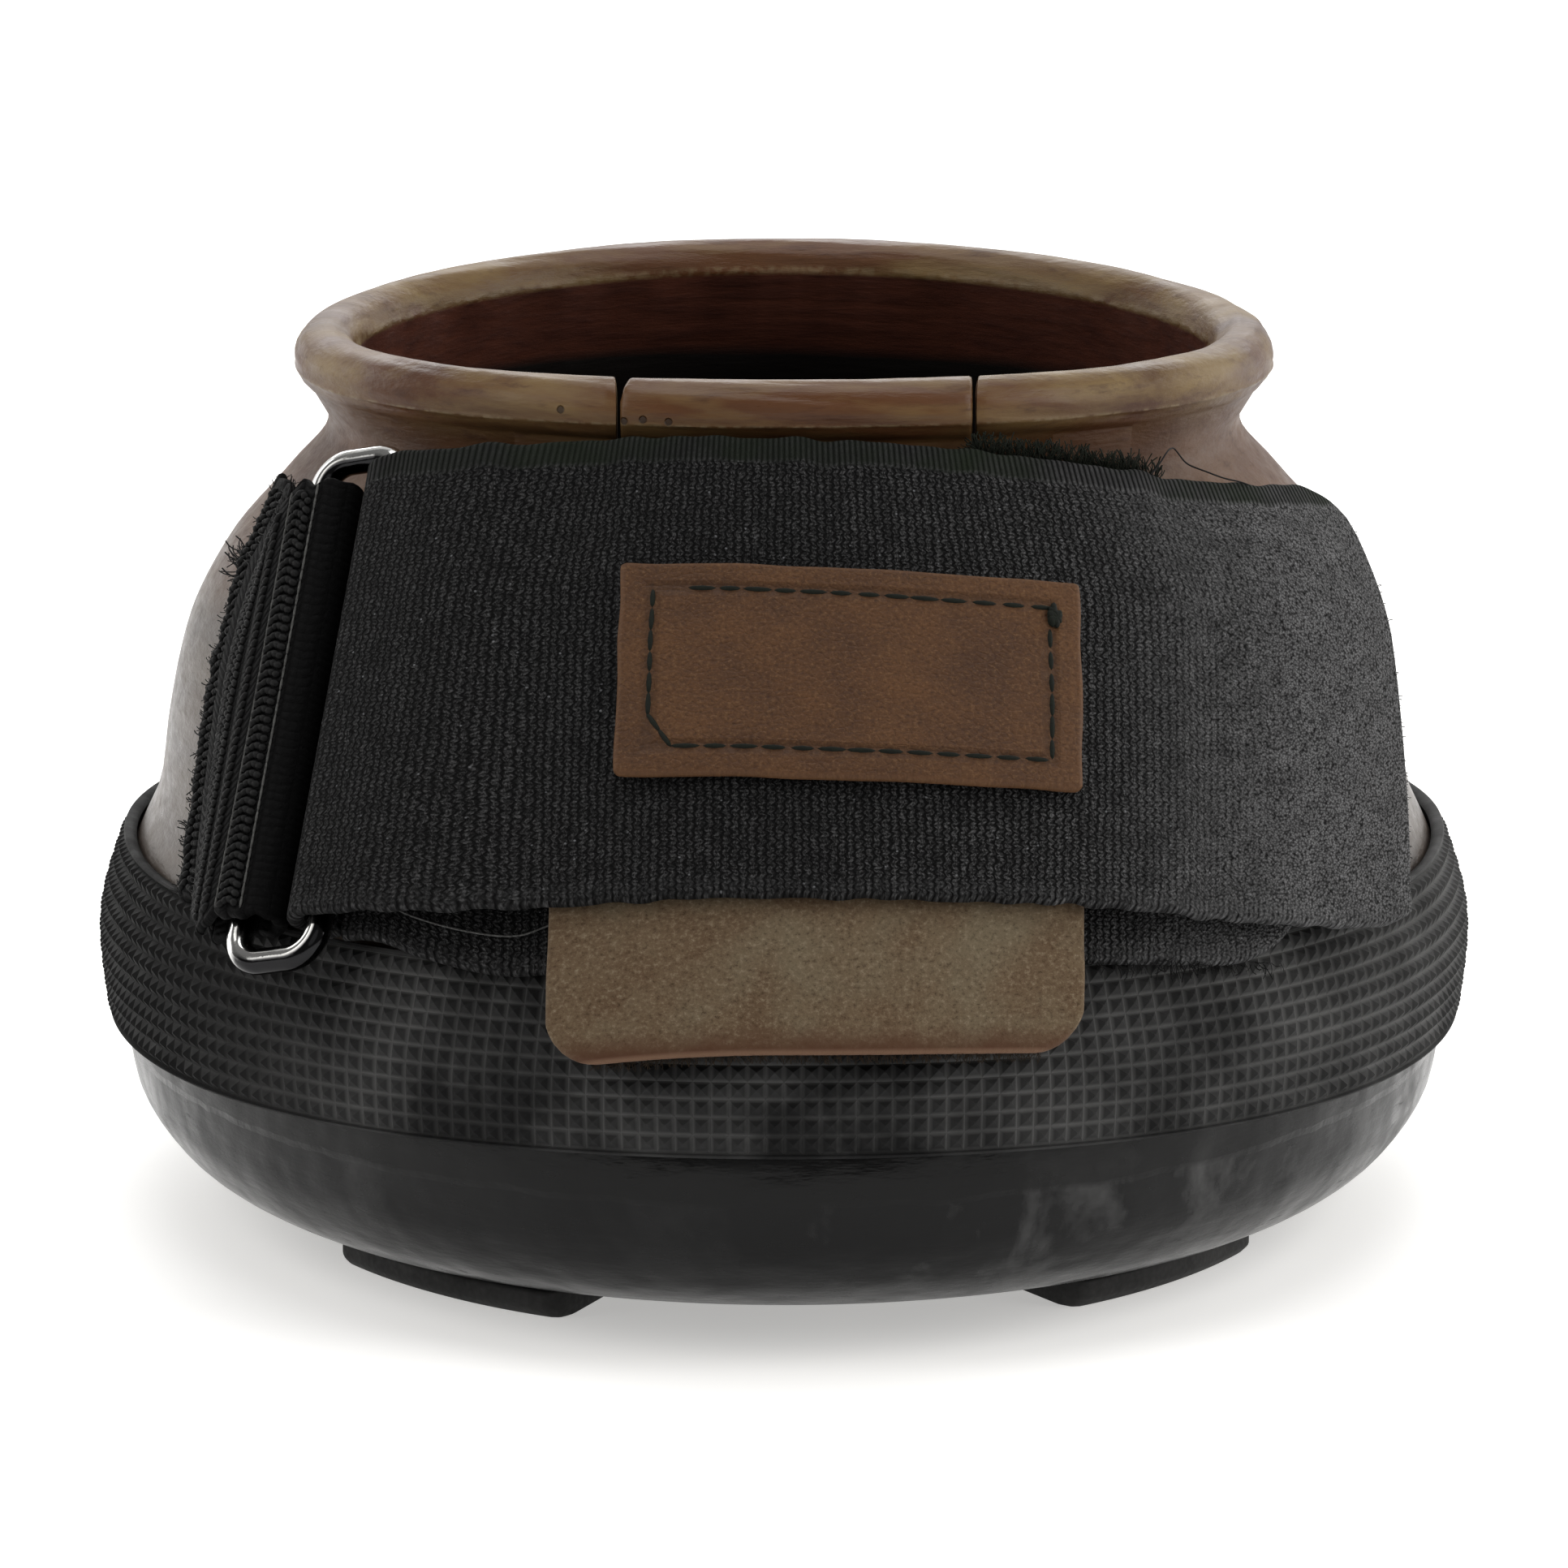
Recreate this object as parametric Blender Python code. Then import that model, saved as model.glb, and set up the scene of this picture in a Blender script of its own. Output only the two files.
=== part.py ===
"""Horse hoof boot: a moulded rubber upper on a cup sole, closed by an elastic strap through a ring.

Metres, +Z up. The toe faces -Y and +X is the viewer's right. The origin is under the middle of
the boot, on the ground plane that the four tread pads stand on.
"""

import bpy
import numpy as np
from math import cos, pi, radians, sin, sqrt
from mathutils import Vector

# Body: the common outer surface of the upper and the cup sole
BODY_HALF_WIDTH = 0.0733
TOE_REACH = 0.0727
HEEL_REACH = 0.0734
WIDEST_LINE = 0.0153
BODY_HEIGHT = 0.0870
TREAD_DEPTH = 0.0035
# Height, half width, toe, heel and widest line, each as a share of the size that it follows
BODY_SHARES = (
    (0.000, 0.778, 0.780, 0.771, 0.35),
    (0.017, 0.853, 0.856, 0.845, 0.35),
    (0.063, 0.930, 0.938, 0.926, 0.41),
    (0.120, 0.971, 0.981, 0.966, 0.48),
    (0.200, 0.988, 1.000, 0.987, 0.61),
    (0.293, 1.000, 0.979, 1.000, 0.67),
    (0.385, 0.973, 0.917, 1.000, 0.74),
    (0.466, 0.932, 0.842, 0.993, 0.77),
    (0.546, 0.920, 0.746, 0.973, 0.80),
    (0.661, 0.891, 0.649, 0.946, 0.87),
    (0.764, 0.829, 0.567, 0.906, 0.93),
    (0.845, 0.745, 0.491, 0.852, 1.00),
    (0.920, 0.679, 0.415, 0.795, 1.00),
    (1.000, 0.682, 0.374, 0.751, 1.00),
)
NECK_SHARE = 0.92
AROUND = 60

# Upper, with its rolled collar
UPPER_WALL = 0.0030
COLLAR_RADIUS = 0.00315
COLLAR_RISE = 0.0018
SKIRT_WALL = 0.0022
SKIRT_DEPTH = 0.0080
UPPER_SHARES = (0.34, 0.385, 0.43, 0.466, 0.546, 0.60, 0.661, 0.715, 0.764, 0.805, 0.845, 0.88, 0.92)
COLLAR_ARC_DEGREES = (-55, -25, 0, 28, 58, 90, 122, 152, 180)

# Front tab, cut free in the upper by two slits
TAB_HALF_WIDTH = 0.0187
TAB_OFFSET = 0.0013
TAB_FOOT_OVER_SOLE = 0.0495
SLIT = 0.0004

# Cup sole, insole and tread pads
SOLE_EDGE_SHARE = 0.293
SOLE_RIM_WALL = 0.0020
SOLE_WALL = 0.0050
SOLE_FLOOR = 0.0050
SOLE_SHARES = (0.0, 0.017, 0.04, 0.063, 0.12, 0.20, 0.245, 0.293)
INSOLE_THICKNESS = 0.0030
INSOLE_CHAMFER = 0.0008
PAD_WIDTH = 0.0170
PAD_MARGIN = -0.0008
PAD_CHAMFER = 0.0012
PAD_START_DEGREES = 20
PAD_END_DEGREES = 56
PAD_STEPS = 8

# Foxing band, a tape of one width laid over the seam of sole and upper
BAND_WIDTH = 0.0200
BAND_WALL = 0.0015
BAND_FOOT_OVER_SOLE = 0.0168
BAND_TOE_LIFT = 0.0033
BAND_ROWS = 5

# Strap: one 51 mm elastic strap, as its sewn inner run, its fold round the ring and its free run
STRAP_WIDTH = 0.0530
STRAP_WALL = 0.0018
STRAP_FOOT_OVER_SOLE = 0.0418
RING_SIDE_RADIUS = 0.140
FREE_SIDE_RADIUS = 0.290
RING_LEAN_SHARE = 0.62
FREE_LEAN_SHARE = 0.76
FREE_RISE_SHARE = 0.86
INNER_LENGTH = 0.0555
INNER_DROP = 0.0045
FREE_LENGTH = 0.0690
STRAP_CORNER = 0.0050
FOLD_RUN = 0.0037
FOLD_TAIL = 0.0010
STRAP_ROWS = 7
RAMP = 0.0080
BLEND = 0.0160
HOOK_LENGTH = 0.0260
HOOK_WALL = 0.0012
HOOK_MARGIN = 0.0020

# Ring of round wire, and the webbing that ties it to the upper
WIRE_RADIUS = 0.0014
RING_WINDOW = 0.0072
RING_OPENING = 0.0556
RING_CORNER = 0.0032
RING_PLACE = 0.0468
WEBBING_WALL = 0.0015
WEBBING_LENGTH = 0.0180
WEBBING_WIDTH = 0.0465
WEBBING_DROP = 0.0015
WEBBING_PLY_GAP = 0.0003
WEBBING_BLEND_START = 0.0040
WEBBING_BLEND = 0.0090

# Leather guard between the two runs of the strap, and the bare leather patch on the free run
GUARD_HALF_WIDTH = 0.0257
GUARD_OFFSET = 0.0036
GUARD_OVERHANG = 0.0148
GUARD_WALL = 0.0022
GUARD_CORNER = 0.0070
GUARD_TOP_MARGIN = 0.0015
PATCH_HALF_WIDTH = 0.0217
PATCH_OFFSET = 0.0060
PATCH_HEIGHT = 0.0233
PATCH_FOOT = 0.0145
PATCH_TILT_SHARE = 0.04
PATCH_WALL = 0.0014
PATCH_CORNER = 0.0020

GAP = 0.0003
CUT_OVERRUN = 0.0100
FINE_STEPS = 160
PATH_STEPS = 70
SPARE_TURN_SHARE = 0.1
NORMAL_STEP_SHARE = 0.0005
ROW_SHARE = 0.9

TAB_FOOT = TREAD_DEPTH + TAB_FOOT_OVER_SOLE
BAND_FOOT = TREAD_DEPTH + BAND_FOOT_OVER_SOLE
STRAP_FOOT = TREAD_DEPTH + STRAP_FOOT_OVER_SOLE
RING_PITCH = RING_WINDOW + 2 * WIRE_RADIUS
FOLD_INNER = WIRE_RADIUS + GAP
FOLD_OUTER = FOLD_INNER + STRAP_WALL
BAND_PROUD = GAP + BAND_WALL
INNER_LAYER = GAP
GUARD_LAYER = INNER_LAYER + STRAP_WALL + GAP
FREE_LAYER = GUARD_LAYER + GUARD_WALL + GAP
HOOK_LAYER = INNER_LAYER + STRAP_WALL + GAP
FREE_END_LAYER = HOOK_LAYER + HOOK_WALL + GAP
FRONT = -pi / 2


def clear_scene():
    for obj in list(bpy.data.objects):
        bpy.data.objects.remove(obj, do_unlink=True)


def material(name, colour, roughness, metallic=0.0):
    mat = bpy.data.materials.new(name)
    mat.use_nodes = True
    shader = mat.node_tree.nodes["Principled BSDF"]
    shader.inputs["Base Color"].default_value = (*colour, 1.0)
    shader.inputs["Roughness"].default_value = roughness
    shader.inputs["Metallic"].default_value = metallic
    return mat


def add_object(name, points, faces, mat, sharp_degrees=40, pivot=None):
    """A mesh object; a pivot puts its origin on its joint's axis."""
    centre = Vector(pivot) if pivot is not None else Vector((0, 0, 0))
    mesh = bpy.data.meshes.new(name)
    mesh.from_pydata([Vector(p) - centre for p in points], [], faces)
    mesh.validate()
    mesh.shade_smooth()
    mesh.set_sharp_from_angle(angle=radians(sharp_degrees))
    mesh.materials.append(mat)
    obj = bpy.data.objects.new(name, mesh)
    obj.location = centre
    bpy.context.scene.collection.objects.link(obj)
    return obj


def smooth_step(value):
    t = np.clip(value, 0.0, 1.0)
    return t * t * (3 - 2 * t)


def monotone_table(column):
    """Cubic through one column of BODY_SHARES that never overshoots its points."""
    x = np.array([row[0] for row in BODY_SHARES])
    y = np.array([row[column] for row in BODY_SHARES])
    steps = np.diff(x)
    slopes = np.diff(y) / steps
    tangents = np.zeros_like(y)
    tangents[0] = slopes[0]
    tangents[-1] = slopes[-1]
    for i in range(1, len(x) - 1):
        before, after = slopes[i - 1], slopes[i]
        if before * after > 0:
            weight_a = 2 * steps[i] + steps[i - 1]
            weight_b = steps[i] + 2 * steps[i - 1]
            tangents[i] = (weight_a + weight_b) / (weight_a / before + weight_b / after)
    return x, y, steps, tangents


BODY_TABLES = [monotone_table(column) for column in range(1, 5)]


def body_share(column, share):
    x, y, steps, tangents = BODY_TABLES[column]
    share = np.clip(share, x[0], x[-1])
    i = np.clip(np.searchsorted(x, share, side="right") - 1, 0, len(x) - 2)
    t = (share - x[i]) / steps[i]
    rise = y[i] * (1 + 2 * t) * (1 - t) ** 2 + y[i + 1] * t * t * (3 - 2 * t)
    bend = tangents[i] * t * (1 - t) ** 2 - tangents[i + 1] * t * t * (1 - t)
    return rise + steps[i] * bend


def body_height(share):
    return TREAD_DEPTH + share * BODY_HEIGHT


def bare_body(angle, z):
    """Point of the body's surface at an angle round the boot, from two half ellipses."""
    angle, z = np.broadcast_arrays(np.asarray(angle, float), np.asarray(z, float))
    share = (z - TREAD_DEPTH) / BODY_HEIGHT
    half_width = BODY_HALF_WIDTH * body_share(0, share)
    toe = -TOE_REACH * body_share(1, share)
    heel = HEEL_REACH * body_share(2, share)
    widest = WIDEST_LINE * body_share(3, share)
    depth = np.where(np.sin(angle) < 0, widest - toe, heel - widest)
    x = half_width * np.cos(angle)
    y = widest + depth * np.sin(angle)
    return np.stack([x, y, z], axis=-1)


def body_normal(angle, z):
    turn = NORMAL_STEP_SHARE * pi
    lift = NORMAL_STEP_SHARE * BODY_HEIGHT
    across = bare_body(angle + turn, z) - bare_body(angle - turn, z)
    upward = bare_body(angle, z + lift) - bare_body(angle, z - lift)
    normal = np.cross(across, upward)
    return normal / np.linalg.norm(normal, axis=-1, keepdims=True)


def body(angle, z, offset):
    """The body's surface moved out by an offset."""
    offset = np.asarray(offset, float)
    return bare_body(angle, z) + body_normal(angle, z) * offset[..., None]


def body_ring(z, offset=0.0):
    """A ring of points round the body at a height, moved out by an offset."""
    return body(round_angles(AROUND), np.full(AROUND, z), np.full(AROUND, offset))


def level_ring(z, offset):
    """The same, kept level, for edges and ledges that seat on each other."""
    ring = body_ring(z, offset)
    ring[:, 2] = z
    return ring


def climb(angle, foot, offset, lengths):
    """Heights on the body at the given lengths up its surface from a foot height."""
    heights = np.linspace(foot, body_height(1.0), FINE_STEPS)
    path = body(angle, heights, np.full(FINE_STEPS, offset))
    run = np.concatenate([[0.0], np.cumsum(np.linalg.norm(np.diff(path, axis=0), axis=1))])
    return np.interp(lengths, run, heights)


def round_angles(count):
    return FRONT + 2 * pi * np.arange(count) / count


def ring_faces(rows, columns, closed_rows=True, closed_columns=True):
    """Quads of a grid of rows by columns, joined end to end where it is closed."""
    faces = []
    for i in range(rows if closed_rows else rows - 1):
        for j in range(columns if closed_columns else columns - 1):
            next_i = (i + 1) % rows
            next_j = (j + 1) % columns
            low, high = i * columns, next_i * columns
            faces.append((low + j, high + j, high + next_j, low + next_j))
    return faces


def loft_round(name, rings, mat, closed=True, sharp_degrees=40, pivot=None):
    """Skin over closed rings of points; a loft that isn't closed gets a flat cap at each end."""
    count = len(rings[0])
    points = [tuple(p) for ring in rings for p in ring]
    faces = ring_faces(len(rings), count, closed_rows=closed)
    faces = [face[::-1] for face in faces]
    if not closed:
        faces.append(tuple(reversed(range(count))))
        faces.append(tuple((len(rings) - 1) * count + j for j in range(count)))
    return add_object(name, points, faces, mat, sharp_degrees, pivot)


def slab(name, outer, inner, mat, pivot=None, sharp_degrees=50):
    """Closed panel between two grids of points, outer and inner, both rows by columns."""
    rows, columns = outer.shape[:2]
    total = rows * columns
    points = [tuple(p) for grid in (outer, inner) for p in grid.reshape(total, 3)]
    faces = []
    for i in range(rows - 1):
        for j in range(columns - 1):
            a, b = i * columns + j, (i + 1) * columns + j
            faces.append((a, b, b + 1, a + 1))
            faces.append((total + a, total + a + 1, total + b + 1, total + b))
    border = [i * columns for i in range(rows)]
    border += [(rows - 1) * columns + j for j in range(1, columns)]
    border += [i * columns + columns - 1 for i in range(rows - 2, -1, -1)]
    border += [j for j in range(columns - 2, 0, -1)]
    for here, after in zip(border, border[1:] + border[:1]):
        faces.append((after, here, total + here, total + after))
    return add_object(name, points, faces, mat, sharp_degrees, pivot)


def band_foot(angle):
    return BAND_FOOT + BAND_TOE_LIFT * np.clip(-np.sin(angle), 0.0, 1.0) ** 2


def band_heights(angle, count):
    lengths = BAND_WIDTH * np.arange(count + 1) / count
    return climb(angle, band_foot(angle), BAND_PROUD, lengths)


def taut_profile(reach, height):
    """Indices of the points that a taut strip touches: the outward hull of a profile."""
    hull = []
    for i in range(len(height)):
        while len(hull) > 1:
            a, b = hull[-2], hull[-1]
            rise, rise_on = height[b] - height[a], height[i] - height[a]
            turn = rise * (reach[i] - reach[a]) - (reach[b] - reach[a]) * rise_on
            if turn < 0:
                break
            hull.pop()
        hull.append(i)
    return hull


class StrapRoute:
    """Where a length along the strap and a height across it lie on the body and its band."""

    def __init__(self):
        spare = SPARE_TURN_SHARE * pi
        self.angles = np.linspace(-pi - spare, spare, FINE_STEPS)
        self.low = self.lengths(STRAP_FOOT)
        self.high = self.lengths(body_height(NECK_SHARE))
        self.paths = {}

    def lengths(self, z):
        """Lengths round the body from the toe line, at one height."""
        guide = body(self.angles, np.full(FINE_STEPS, z), np.full(FINE_STEPS, GUARD_LAYER))
        run = np.concatenate([[0.0], np.cumsum(np.linalg.norm(np.diff(guide, axis=0), axis=1))])
        return run - np.interp(FRONT, self.angles, run)

    def angle(self, along, across):
        """The flat strip leans as it wraps: its top edge goes further round than its foot."""
        low = np.interp(along, self.low, self.angles)
        high = np.interp(along, self.high, self.angles)
        side = smooth_step(along / STRAP_WIDTH + 0.5)
        lean_share = RING_LEAN_SHARE + (FREE_LEAN_SHARE - RING_LEAN_SHARE) * side
        lean = (across / STRAP_WIDTH - 0.5) * lean_share + 0.5
        return float(low + (high - low) * lean)

    def path(self, angle, foot):
        """Points up the body at one angle, drawn taut over every hollow, and their run from a foot."""
        key = (round(angle, 6), round(foot / GAP, 3))
        if key in self.paths:
            return self.paths[key]
        band_top = float(band_heights(angle, 1)[-1])
        heights = np.linspace(foot - GUARD_OVERHANG - RAMP, body_height(NECK_SHARE), PATH_STEPS)
        heights = np.sort(np.append(heights, band_top))
        proud = np.where(heights <= band_top, BAND_PROUD, 0.0)
        points = body(np.full(len(heights), angle), heights, proud)
        out = body_normal(angle, STRAP_FOOT + STRAP_WIDTH / 2)
        out[2] = 0.0
        out /= np.linalg.norm(out)
        hull = points[taut_profile(points @ out, points[:, 2])]
        run = np.concatenate([[0.0], np.cumsum(np.linalg.norm(np.diff(hull, axis=0), axis=1))])
        foot_z = np.interp(foot, heights, points[:, 2])
        run -= np.interp(foot_z, hull[:, 2], run)
        self.paths[key] = (hull, run, np.cross([0.0, 0.0, 1.0], out))
        return self.paths[key]

    def on_body(self, along, across, layer, drop=0.0):
        """A point a layer's height off the body, at a length up the taut path."""
        around = max(along, -RING_PLACE)
        bend_radius = FREE_SIDE_RADIUS if along > 0 else RING_SIDE_RADIUS
        foot = STRAP_FOOT - around * around / (2 * bend_radius)
        hull, run, side = self.path(self.angle(along, across), foot)

        def at(length):
            point = np.array([np.interp(length, run, hull[:, axis]) for axis in range(3)])
            last = (hull[-1] - hull[-2]) / (run[-1] - run[-2])
            return point + last * max(0.0, length - run[-1])

        leaning = float(smooth_step(along / FREE_LENGTH))
        length = across * (1 - (1 - FREE_RISE_SHARE) * leaning) - drop
        upward = at(length + RAMP / 2) - at(length - RAMP / 2)
        normal = np.cross(side, upward)
        return at(length) + normal / np.linalg.norm(normal) * layer


ROUTE = StrapRoute()


class RingFrame:
    """Flat frame that the ring lies in: tangent to the body, clear of the strap under it."""

    def __init__(self):
        half = STRAP_WIDTH / 2
        middle = ROUTE.on_body(-RING_PLACE, half, 0.0)
        low = ROUTE.on_body(-RING_PLACE, 0.0, 0.0)
        high = ROUTE.on_body(-RING_PLACE, STRAP_WIDTH, 0.0)
        side = ROUTE.on_body(-RING_PLACE + RING_PITCH, half, 0.0) - middle
        self.up = (high - low) / np.linalg.norm(high - low)
        out = np.cross(side, self.up)
        self.out = out / np.linalg.norm(out)
        self.side = np.cross(self.up, self.out)
        swell = 0.0
        for across in np.linspace(0.0, STRAP_WIDTH, 2 * STRAP_ROWS + 1):
            for shift in (-RING_PITCH / 2, 0.0, RING_PITCH / 2):
                point = ROUTE.on_body(-RING_PLACE + shift, across, 0.0)
                swell = max(swell, float(np.dot(point - middle, self.out)))
        self.middle = middle + self.out * swell
        self.axis_height = GAP + STRAP_WALL + FOLD_INNER

    def point(self, shift, across, height):
        """From lengths along the strap, across it and out of the body."""
        rise = across - STRAP_WIDTH / 2
        return self.middle + self.side * shift + self.up * rise + self.out * height


RING = RingFrame()
STRAP_BAR = RING_PITCH / 2
WEBBING_BAR = -RING_PITCH / 2
BEND_SHIFT = STRAP_BAR + FOLD_RUN + GAP


def by_ring(shift, across, layer, frame_height, weight, drop=0.0):
    """Between the ring's flat frame, at weight 0, and the body, at weight 1."""
    flat = RING.point(shift, across, frame_height)
    curved = ROUTE.on_body(shift - RING_PLACE, across, layer, drop)
    return flat * (1 - weight) + curved * weight


def make_upper_ring(name, mat, pivot=None):
    """The whole upper as one closed ring, before the slits: outer wall, collar, inner wall, skirt."""
    edge = body_height(SOLE_EDGE_SHARE)
    skirt_foot = edge - SKIRT_DEPTH
    lap = SOLE_RIM_WALL + GAP
    rings = [level_ring(edge + GAP, 0.0)]
    rings += [body_ring(body_height(share)) for share in UPPER_SHARES]
    rings += collar_rings(round_angles(AROUND))
    rings += [body_ring(body_height(share), -UPPER_WALL) for share in UPPER_SHARES[::-2]]
    rings.append(level_ring(edge - GAP, -lap - SKIRT_WALL))
    rings.append(level_ring(skirt_foot, -lap - SKIRT_WALL))
    rings.append(level_ring(skirt_foot, -lap))
    rings.append(level_ring(edge + GAP, -lap))
    return loft_round(name, rings, mat, sharp_degrees=50, pivot=pivot)


def collar_rings(angles):
    centre = bare_body(angles, np.full(AROUND, body_height(1.0)))
    centre[:, 2] += COLLAR_RISE * np.sin(angles) ** 2
    out = body_normal(angles, np.full(AROUND, body_height(1.0)))
    out[:, 2] = 0.0
    out /= np.linalg.norm(out, axis=1, keepdims=True)
    rings = []
    for degrees in COLLAR_ARC_DEGREES:
        ring = centre + out * COLLAR_RADIUS * cos(radians(degrees))
        ring[:, 2] += COLLAR_RADIUS * sin(radians(degrees))
        rings.append(ring)
    return rings


def box_cutter(name, low, high):
    """A guide block for a Boolean, left out of the model."""
    ends = list(zip(low, high))
    corners = [(x, y, z) for x in ends[0] for y in ends[1] for z in ends[2]]
    faces = [(0, 1, 3, 2), (4, 6, 7, 5), (0, 4, 5, 1), (2, 3, 7, 6), (0, 2, 6, 4), (1, 5, 7, 3)]
    mesh = bpy.data.meshes.new(name)
    mesh.from_pydata(corners, [], faces)
    obj = bpy.data.objects.new(name, mesh)
    obj.hide_render = True
    obj.display_type = "WIRE"
    bpy.context.scene.collection.objects.link(obj)
    return obj


def add_boolean(obj, cutter, operation):
    modifier = obj.modifiers.new(cutter.name, "BOOLEAN")
    modifier.operation = operation
    modifier.object = cutter
    modifier.solver = "EXACT"


def tab_pivot():
    """The tab bends along a level line through the innermost corners of its foot."""
    angles = np.linspace(-pi, 0.0, FINE_STEPS)
    foot = body(angles, np.full(FINE_STEPS, TAB_FOOT), np.full(FINE_STEPS, -UPPER_WALL))
    reach = TAB_HALF_WIDTH + TAB_OFFSET
    inner_y = np.interp(reach, foot[:, 0], foot[:, 1])
    return (TAB_OFFSET, float(inner_y), TAB_FOOT + GAP)


def make_upper(mat):
    shell = make_upper_ring("upper_shell", mat)
    top = body_height(1.0) + COLLAR_RISE + COLLAR_RADIUS + CUT_OVERRUN
    front = -TOE_REACH - CUT_OVERRUN
    half = TAB_HALF_WIDTH + SLIT / 2
    slit = box_cutter("slit_cutter", (TAB_OFFSET - half, front, TAB_FOOT), (TAB_OFFSET + half, 0.0, top))
    add_boolean(shell, slit, "DIFFERENCE")
    tab = make_upper_ring("front_tab", mat, pivot=tab_pivot())
    half = TAB_HALF_WIDTH - SLIT / 2
    foot = TAB_FOOT + GAP
    keep = box_cutter("tab_cutter", (TAB_OFFSET - half, front, foot), (TAB_OFFSET + half, 0.0, top))
    add_boolean(tab, keep, "INTERSECT")


def make_outsole(mat):
    """Cup sole: a rounded bowl with a thinner rim that the upper's skirt drops into."""
    edge = body_height(SOLE_EDGE_SHARE)
    ledge = edge - SKIRT_DEPTH - GAP
    floor = TREAD_DEPTH + SOLE_FLOOR
    rings = [level_ring(body_height(share), 0.0) for share in SOLE_SHARES]
    rings.append(level_ring(edge, -SOLE_RIM_WALL))
    rings.append(level_ring(ledge, -SOLE_RIM_WALL))
    rings.append(level_ring(ledge, -SOLE_WALL))
    rings.append(level_ring((ledge + floor) / 2, -SOLE_WALL))
    rings.append(level_ring(floor, -SOLE_WALL))
    loft_round("outsole", rings, mat, closed=False)


def make_insole(mat):
    """Flat pad on the floor of the sole."""
    foot = TREAD_DEPTH + SOLE_FLOOR + GAP
    top = foot + INSOLE_THICKNESS
    wide = level_ring(foot, -SOLE_WALL - GAP - INSOLE_CHAMFER)
    middle = wide.mean(axis=0)
    drawn_in_share = 1 - INSOLE_CHAMFER / BODY_HALF_WIDTH
    rings = []
    for height, scale in (
        (foot, drawn_in_share),
        (foot + INSOLE_CHAMFER, 1.0),
        (top - INSOLE_CHAMFER, 1.0),
        (top, drawn_in_share),
    ):
        ring = middle + (wide - middle) * scale
        ring[:, 2] = height
        rings.append(ring)
    loft_round("insole", rings, mat, closed=False)


def make_tread_pads(mat):
    """Four arc-shaped pads under the rim of the sole, each with bevelled ends and edges."""
    top = TREAD_DEPTH - GAP
    for name, middle_degrees in (
        ("tread_pad_front_left", -90 - (PAD_START_DEGREES + PAD_END_DEGREES) / 2),
        ("tread_pad_front_right", -90 + (PAD_START_DEGREES + PAD_END_DEGREES) / 2),
        ("tread_pad_rear_left", 90 + (PAD_START_DEGREES + PAD_END_DEGREES) / 2),
        ("tread_pad_rear_right", 90 - (PAD_START_DEGREES + PAD_END_DEGREES) / 2),
    ):
        sweep = radians(PAD_END_DEGREES - PAD_START_DEGREES)
        start = radians(middle_degrees) - sweep / 2
        bevel_turn = PAD_CHAMFER / BODY_HALF_WIDTH
        top_angles = np.linspace(start, start + sweep, PAD_STEPS)
        foot_angles = np.linspace(start + bevel_turn, start + sweep - bevel_turn, PAD_STEPS)
        rings = []
        for low, high in zip(foot_angles, top_angles):
            rings.append(pad_section(low, high, top))
        loft_round(name, rings, mat, closed=False, sharp_degrees=30)


def pad_section(foot_angle, top_angle, top):
    outline = bare_body(np.array([foot_angle, top_angle]), np.full(2, TREAD_DEPTH))
    inward = -body_normal(np.array([foot_angle, top_angle]), np.full(2, TREAD_DEPTH))
    inward[:, 2] = 0.0
    inward /= np.linalg.norm(inward, axis=1, keepdims=True)
    places = (
        (1, PAD_MARGIN, top),
        (1, PAD_MARGIN, PAD_CHAMFER),
        (0, PAD_MARGIN + PAD_CHAMFER, 0.0),
        (0, PAD_MARGIN + PAD_WIDTH - PAD_CHAMFER, 0.0),
        (1, PAD_MARGIN + PAD_WIDTH, PAD_CHAMFER),
        (1, PAD_MARGIN + PAD_WIDTH, top),
    )
    points = []
    for side, depth, height in places:
        point = outline[side] + inward[side] * depth
        point[2] = height
        points.append(point)
    return points


def make_band(mat):
    angles = round_angles(AROUND)
    heights = np.array([band_heights(angle, BAND_ROWS) for angle in angles])
    rings = []
    for row in range(BAND_ROWS + 1):
        rings.append(body(angles, heights[:, row], np.full(AROUND, BAND_PROUD)))
    for row in range(BAND_ROWS, -1, -1):
        rings.append(body(angles, heights[:, row], np.full(AROUND, GAP)))
    loft_round("foxing_band", rings, mat, sharp_degrees=60)


def corner_inset(distance, radius):
    """How far a rounded corner draws the long edges in, at a distance from the end."""
    if distance >= radius:
        return 0.0
    return radius - sqrt(radius * radius - (radius - distance) ** 2)


def end_stations(start, end, steps, corner, both_ends):
    """Places along a panel, closer together in its rounded corners."""
    corner_shares = (0.0, 0.12, 0.42, 1.0)
    stations = list(np.linspace(start, end, steps + 1))
    extra = [end - corner * share for share in corner_shares]
    if both_ends:
        extra += [start + corner * share for share in corner_shares]
        stations = [s for s in stations if start + corner < s < end - corner]
    else:
        stations = [s for s in stations if s < end - corner]
    return np.array(sorted(stations + extra))


def layered_panel(name, stations, foot, top, wall, place, mat, corner=0.0, ends=(), pivot=None):
    """A panel on the strap's route. place(along, across, extra) gives a point; ends are rounded."""
    count = 1 + int(STRAP_ROWS * ROW_SHARE * (top - foot) / STRAP_WIDTH)
    outer, inner = [], []
    for along in stations:
        inset = max([corner_inset(abs(along - end), corner) for end in ends], default=0.0)
        low, high = foot + inset, top - inset
        across = [low + (high - low) * row / count for row in range(count + 1)]
        outer.append([place(along, value, wall) for value in across])
        inner.append([place(along, value, 0.0) for value in across])
    return slab(name, np.array(outer), np.array(inner), mat, pivot=pivot)


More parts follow.
